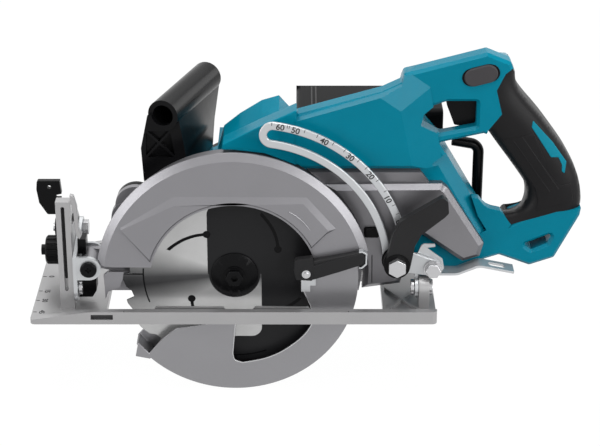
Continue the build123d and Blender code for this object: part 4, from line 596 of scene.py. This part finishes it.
# Coloured strip, ridges and sunk panel of the grip, the foot's corner and the lock button's rim
on_grip_plate("grip_inlay", [
    (240.4, 127.7), (239.3, 122.5), (256.2, 96.6), (262.4, 96.0), (265.6, 89.5), (265.6, 84.2), (268.2, 82.0),
    (269.6, 91.3), (257.4, 108.6),
], 14.3, 24, soft_teal, 0.8)
ridges = bmesh.new()
for upper, lower in ((at(231.7, 115.0, 15), at(263.8, 68.8, 15)), (at(224.8, 111.7, 15), at(256.5, 66.8, 15))):
    add_rod(ridges, [upper.lerp(lower, step / 12) for step in range(13)], 0.7)
on_grip(ridges, 20)
dress("grip_ridges", ridges, rubber, "saw")
on_grip_plate("grip_panel", [
    (215.6, 111.2), (229.9, 114.3), (241.0, 117.9), (252.6, 92.4), (252.5, 86.3), (264.2, 72.4), (274.0, 73.6),
    (276.5, 58.0), (262.0, 55.0), (247.0, 50.0), (247.5, 58.0), (245.0, 68.0),
], 14.5, 20, rubber, 0.5)
plate("foot_corner", [
    (193.4, 61.6), (199.2, 60.6), (202.4, 56.4), (205.6, 53.4), (210.0, 51.4), (217.2, 49.8), (226.6, 37.2),
    (222.0, 30.0), (208.0, 30.0), (199.0, 45.0),
], 14.9, 24.0, teal, "saw", edge=0.4)
plate("lock_rim", capsule(197, 167, 30.4, 14.8, 14), 14.2, 15.6, black, "saw", edge=0.6)

# Nose of the body, in front of the motor's block
plate("body_nose", [
    (-9.0, 107.0), (-8.6, 112.0), (-6.5, 113.2), (21.8, 127.3), (51.0, 141.0), (51.0, 93.5), (25.0, 104.0),
    (0.0, 107.0),
], 5.4, 24, teal, "saw", edge=1.2, segments=3)

# Blade's slots, filled with dark resin
resin = bmesh.new()
add_disc(resin, 0, 0, -0.62, 0.62, 83.8, sides=96)
dress("blade_resin", resin, black, "blade_shaft")

# Depth guide's scale, as plain ticks and numbers
GUIDE_CENTRE = (15.3, 8.7)
GUIDE_MARKS = (("60", 79.5), ("50", 73.8), ("40", 62.5), ("30", 51.2), ("20", 40.8), ("10", 29.3), ("0", 19.2))
NUMBER_RING, TICK_RINGS, TICK_TURN = 124.6, (125.0, 127.6), 3.2
UPRIGHT = Matrix.Rotation(math.radians(90), 4, "X")
scale = bmesh.new()
for figure, turn in GUIDE_MARKS:
    lean = Matrix.Rotation(math.radians(90 - turn), 4, "Y") @ UPRIGHT
    add_number(scale, figure, at(*on_ring(*GUIDE_CENTRE, NUMBER_RING, turn), -7.05), 6.8, lean)
    for beside in (turn - TICK_TURN, turn + TICK_TURN):
        add_rod(scale, [at(*on_ring(*GUIDE_CENTRE, ring, beside), -6.75) for ring in TICK_RINGS], 0.4, 1)
dress("depth_scale", scale, ink, "depth_link")

# Upper guard, the slope round its raised panel drawn out wide, with a short raised line
PANEL_DEPTH, PANEL_REACH, LEVEL = -18.6, 4.0, 2e-5
PANEL_EDGE = (
    ((-90.5, 48.9), (-90.2, 47.4)), ((-47.0, 76.1), (-47.3, 68.6)), ((59.0, 75.5), (56.2, 70.4)),
    ((82.5, 48.0), (76.3, 46.8)),
)
guard = copied("upper_guard")
for old, new in PANEL_EDGE:
    corner = at(*old, PANEL_DEPTH)
    for v in guard.verts:
        if abs(v.co.y - corner.y) < LEVEL and (v.co - corner).length < PANEL_REACH / 1000:
            v.co = at(*new, PANEL_DEPTH)
bmesh.ops.remove_doubles(guard, verts=guard.verts, dist=1e-6)
ease(guard, hard_edges(guard) + creases(guard), 0.4)
stand_for("upper_guard", guard)
RAISED_LINE = ((44.9, 63.6), (50.4, 60.1), (56.0, 54.9), (61.6, 47.8))
rods("guard_line", [[at(*spot, PANEL_DEPTH) for spot in RAISED_LINE]], 0.6, magnesium, "saw")

# Lower guard's window edge, bright where it is cut
WINDOW = (
    [(56.2, -10), (62.5, -24), (64.5, -39)]
    + flowing([(64.5, -39), (57.0, -51.3), (41, -65), (24.5, -73), (6, -77)])
    + flowing([(6, -77), (-0.6, -74.2), (-2.2, -68)])
    + [(0.5, -38)]
)
rods("window_edge", [[at(*spot, -10.5) for spot in WINDOW]], 0.5, steel, "lower_guard")

# Lower guard lever's hub, pad, bolt and plated tip
plate("lever_hub", [
    (49.2, 23.0), (52.0, 24.4), (64.1, 25.8), (65.6, 8.9), (63.3, 5.3), (50.4, 6.2), (48.6, 15.1),
], -25.2, -18.0, charcoal, "lower_guard", edge=0.9)
plate("lever_pad", [
    (64.1, 18.9), (80.1, 23.8), (102.4, 29.6), (105.0, 28.4), (105.6, 22.5), (103.6, 19.8), (85.9, 13.6),
    (64.1, 6.4),
], -25.4, -23.6, charcoal, "lower_guard", edge=0.7)
LEVER_BOLT = (58.6, 12.0)
bolt = bmesh.new()
add_disc(bolt, *LEVER_BOLT, -26.6, -25.0, 3.6)
add_disc(bolt, *LEVER_BOLT, -28.0, -26.0, 2.3, sides=6)
ease(bolt, hard_edges(bolt), 0.3)
dress("lever_bolt", bolt, steel, "lower_guard")
plate("lever_tip", [
    (101.0, 31.2), (104.3, 31.4), (107.8, 29.4), (107.6, 19.6), (103.8, 16.0), (101.0, 16.2), (101.0, 17.4),
    (103.2, 17.4), (106.2, 20.4), (106.3, 28.6), (103.8, 30.0), (101.0, 30.0),
], -24.4, -18.6, plated, "lower_guard")

# Ring of the lamp behind the guard's lobe, and dark blocks at the front pivot
disc("lamp_ring", -79.6, 57.5, 15.1, 21.0, 16.4, black, "black_plastic", "saw", edge=0.8)
plate("pivot_block", [(-127.6, 18.5), (-127.6, 32.0), (-120.6, 32.0), (-120.6, 18.5)], -2, 12,
      gloss, "carriage", edge=0.8)
plate("pivot_stop", [(-128.6, -20.0), (-128.6, -4.5), (-113.5, -4.5), (-113.5, -14.0), (-117.0, -20.0)], -3, 10,
      gloss, "carriage", edge=0.8)

# Washer and head of the depth clamp, and the rear bracket's ear with its tab
CLAMP = (132.0, 16.4)
CLAMP_BODY = BODY_OF["depth_clamp_bolt"]
disc("clamp_ring", *CLAMP, -21.2, -20.2, 10.6, black, "dark_plastic", CLAMP_BODY, edge=0.4)
disc("clamp_head", *CLAMP, -26.4, -21.0, 8.0, steel, "bright_steel", CLAMP_BODY, edge=0.8, sides=6)
plate("bracket_ear", [
    (143.7, 2.2), (145.9, 11.8), (152.3, 27.1), (154.5, 28.5), (163.4, 28.2), (163.8, 25.9), (157.0, 24.8),
    (170.0, 14.7), (171.4, 6.8), (168.3, 0.9),
], -3.4, -1.6, plated, BODY_OF["rear_bracket"])

# A dark rod in the bevel post's groove as painted shade, the post's curved rim, and the heel of the upper guard
POST_BODY = BODY_OF["bevel_quadrant"]
rods("post_groove", [[at(-136.6, z, -9.4) for z in (63.0, 1.0)]], 1.3, charcoal, POST_BODY)
plate("post_rim", [
    (-130.7, 74.9), (-127.6, 74.1), (-125.3, 64.6), (-125.0, 46.1), (-122.4, 39.5), (-124.6, 35.9),
    (-127.2, 40.8), (-128.3, 58.5), (-130.2, 69.0),
], -11.5, -6.5, alloy, POST_BODY, edge=0.6)
plate("guard_heel", [
    (-106.2, 4.6), (-102.6, 7.7), (-89.6, 7.7), (-90.7, 0.5), (-93.4, -6.7), (-102.9, -10.4), (-105.4, -17.5),
], -12.5, -9.5, magnesium, "saw", edge=0.6)

# Marks along the front of the base
FLAT = Matrix.Rotation(math.radians(-90), 4, "Z")
marks = bmesh.new()
for figure, y in (("0", 48.4), ("15", 20.6), ("30", 3.0), ("45", -18.1)):
    add_number(marks, figure, at(-157.6, -25.95, y), 6.2, FLAT)
    add_rod(marks, [at(x, -26, y) for x in (-164.6, -161.6)], 0.3, 1)
dress("base_marks", marks, ink, "base")

# Lips of the base's slot, a dark sheet deep in its fence slot as painted shade, and its seams
for name, left, right in (("slot_lip_front", -66.0, -6.5), ("slot_lip_rear", 14.5, 62.5)):
    plate(name, [(left, -23.2), (left + 2.6, -19.6), (right - 2.2, -20.2), (right, -23.2)], -21.4, -19.2,
          alloy, "base", edge=0.4)
plate("fence_gap", [(-115.9, -25.9), (-98.1, -25.9), (-98.1, -21.6), (-115.9, -21.6)], -30.5, -29.5,
      ink, "base", edge=0.2)
rods("base_seams", [[at(x, z, -32.2) for z in (-18.2, -28.8)] for x in (93.0, -88.9)], 0.3,
     ink, "base")

# Seams of the side cover and of the battery's end cap
rods("cover_seam", [[at(112.6, 15.0, 4.0), at(112.9, -10.0, 4.0)]], 0.4, ink, "saw")
rods("battery_seams", [[at(x, 118.0, y) for y in (61, 122)] for x in (63.5, 67.0)], 0.7,
     ink, "battery")

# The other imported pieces, with their edges rounded
OWN_FINISH = {
    "side_cover": cover_paint, "gear_case": cover_paint, "front_handle": gloss, "rafter_hook": gloss,
    "base_plate": alloy, "bevel_quadrant": alloy, "lower_guard": guard_alloy, "depth_clamp_bolt": steel,
    "outer_flange": oxide, "lock_off_button": grey, "battery_case": battery_black,
    "depth_lock_lever": charcoal, "guard_lever": charcoal,
}
CHAMFERS = {
    "side_cover": ((None, 88.0, 11.0), 2.6, 1),
    "handle_near": ((None, 90.0, 5.0), 3.6, 1),
    "battery_case": ((50.5, 118.0, None), 6.0, 5),
}
FACETED = ("handle_near", "handle_far", "side_cover")
EDGES = {
    "handle_near": (0.9, 3), "handle_far": (0.9, 3), "motor_housing": (0.9, 3), "depth_guide": (0.7, 3),
    "base_plate": (0.6, 2), "side_cover": (0.6, 3), "front_handle": (1.2, 3), "trigger": (0.8, 3),
    "battery_case": (2.5, 4), "guard_lever": (0.6, 3), "depth_lock_lever": (0.8, 3), "lower_guard": (0.5, 2),
}
PLAIN_EDGE = (0.4, 2)

# The handle's core, under the grip: the depth of its side, and how far that sinks to clear the grip's round
CORE_SIDES = {"handle_near": (18, 8), "handle_far": (52, -8)}
CORE_START = 203
CORE_HEIGHTS, CORE_DEPTHS = (70, 145), (17.8, 52.2)
BACK_REACH, BACK_SINK = 9, 3


def sink_core(solid, side, sink):
    """Draws the core in at its side and along its back."""
    core = [v for v in solid.verts if place_of(v)[0] > CORE_START]
    beside = [v for v in core if abs(place_of(v)[2] - side) < 0.2]
    bmesh.ops.translate(solid, vec=(0, sink / 1000, 0), verts=beside)
    behind = []
    for v in core:
        x, z, y = place_of(v)
        within = CORE_HEIGHTS[0] < z < CORE_HEIGHTS[1] and CORE_DEPTHS[0] < y < CORE_DEPTHS[1]
        if within and off_line(v, GRIP_OUTER) < BACK_REACH:
            behind.append(v)
    bmesh.ops.translate(solid, vec=(-BACK_SINK / 1000, 0, 0), verts=behind)


for node in sorted(frame["nodes"]):
    if node in ("handle_grip", "upper_guard"):
        continue
    solid = copied(node)
    if node in CORE_SIDES:
        sink_core(solid, *CORE_SIDES[node])
    if node in CHAMFERS:
        wanted, size, segments = CHAMFERS[node]
        ease(solid, edges_near(solid, wanted), size, segments, held=False)
    ease(solid, hard_edges(solid) + (creases(solid) if node in FACETED else []), *EDGES.get(node, PLAIN_EDGE))
    stand_for(node, solid, OWN_FINISH.get(node))

# Floor, white to the eye and in mirrors, with the saw's shadow on it
GLOW, GLOW_SHARE = 1.14, 0.86
FLOOR_HALF, FLOOR_DROP = 6.0, 0.0005
floor_finish = Finish("floor_white", Base_Color=(0.2, 0.2, 0.2), Roughness=0.9)
glow = floor_finish.node("ShaderNodeEmission", Color=(1, 1, 1), Strength=GLOW)
floor_look = floor_finish.blended(GLOW_SHARE * floor_finish.seen(), floor_finish.shader, glow)
floor_finish.feed(floor_finish.output.inputs["Surface"], floor_look)
floor_place = Matrix.Translation((0.17, 0.0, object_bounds()[0].z - FLOOR_DROP))
sheet = bmesh.new()
bmesh.ops.create_grid(sheet, x_segments=1, y_segments=1, size=FLOOR_HALF, matrix=floor_place)
floor_mesh = bpy.data.meshes.new("floor")
sheet.to_mesh(floor_mesh)
sheet.free()
floor_mesh.materials.append(floor_finish.material)
floor = bpy.data.objects.new("floor", floor_mesh)
scene.collection.objects.link(floor)

# Surround, white to the eye and in mirrors, and soft for other light
world = bpy.data.worlds.new("studio")
scene.world = world
world.use_nodes = True
sky = Nodes(world.node_tree)
soft = sky.node("ShaderNodeBackground", Color=(0.92, 0.95, 1.0), Strength=0.17)
white = sky.node("ShaderNodeBackground", Color=(1, 1, 1))
sky.node("ShaderNodeOutputWorld", Surface=sky.blended(sky.seen(), soft, white))


def softbox(name, place, aim, size, power):
    lamp = bpy.data.lights.new(name, "AREA")
    lamp.shape = "RECTANGLE"
    lamp.size, lamp.size_y = size
    lamp.energy = power
    light = bpy.data.objects.new(name, lamp)
    light.location = place
    light.rotation_euler = (Vector(aim) - Vector(place)).to_track_quat("-Z", "Y").to_euler()
    scene.collection.objects.link(light)


softbox("left", (-1.25, -0.95, 0.5), (0.12, 0.0, 0.08), (0.9, 1.1), 13.9)
softbox("right", (1.6, -0.85, 0.55), (0.22, 0.0, 0.1), (1.0, 1.1), 15.8)
softbox("front", (0.98, -1.5, 0.5), (0.22, 0.0, 0.12), (0.42, 0.5), 5.9)
softbox("top", (0.2, 0.0, 1.7), (0.17, 0.0, 0.08), (1.7, 1.3), 26.4)
softbox("back", (0.25, 1.3, 1.45), (0.17, 0.0, 0.1), (2.4, 0.8), 7.3)
softbox("far_right", (1.5, 1.25, 0.62), (0.2, 0.0, 0.12), (0.8, 0.8), 4.0)

DOWNWARD = 24.2
camera = bpy.data.cameras.new("camera")
camera.sensor_width = 36.0
camera.lens = 112.2
camera.clip_end = 20.0
eye = bpy.data.objects.new("camera", camera)
eye.location = (0.17163, -1.38281, 0.69708)
eye.rotation_euler = (math.radians(90 - DOWNWARD), 0, 0)
scene.collection.objects.link(eye)
scene.camera = eye
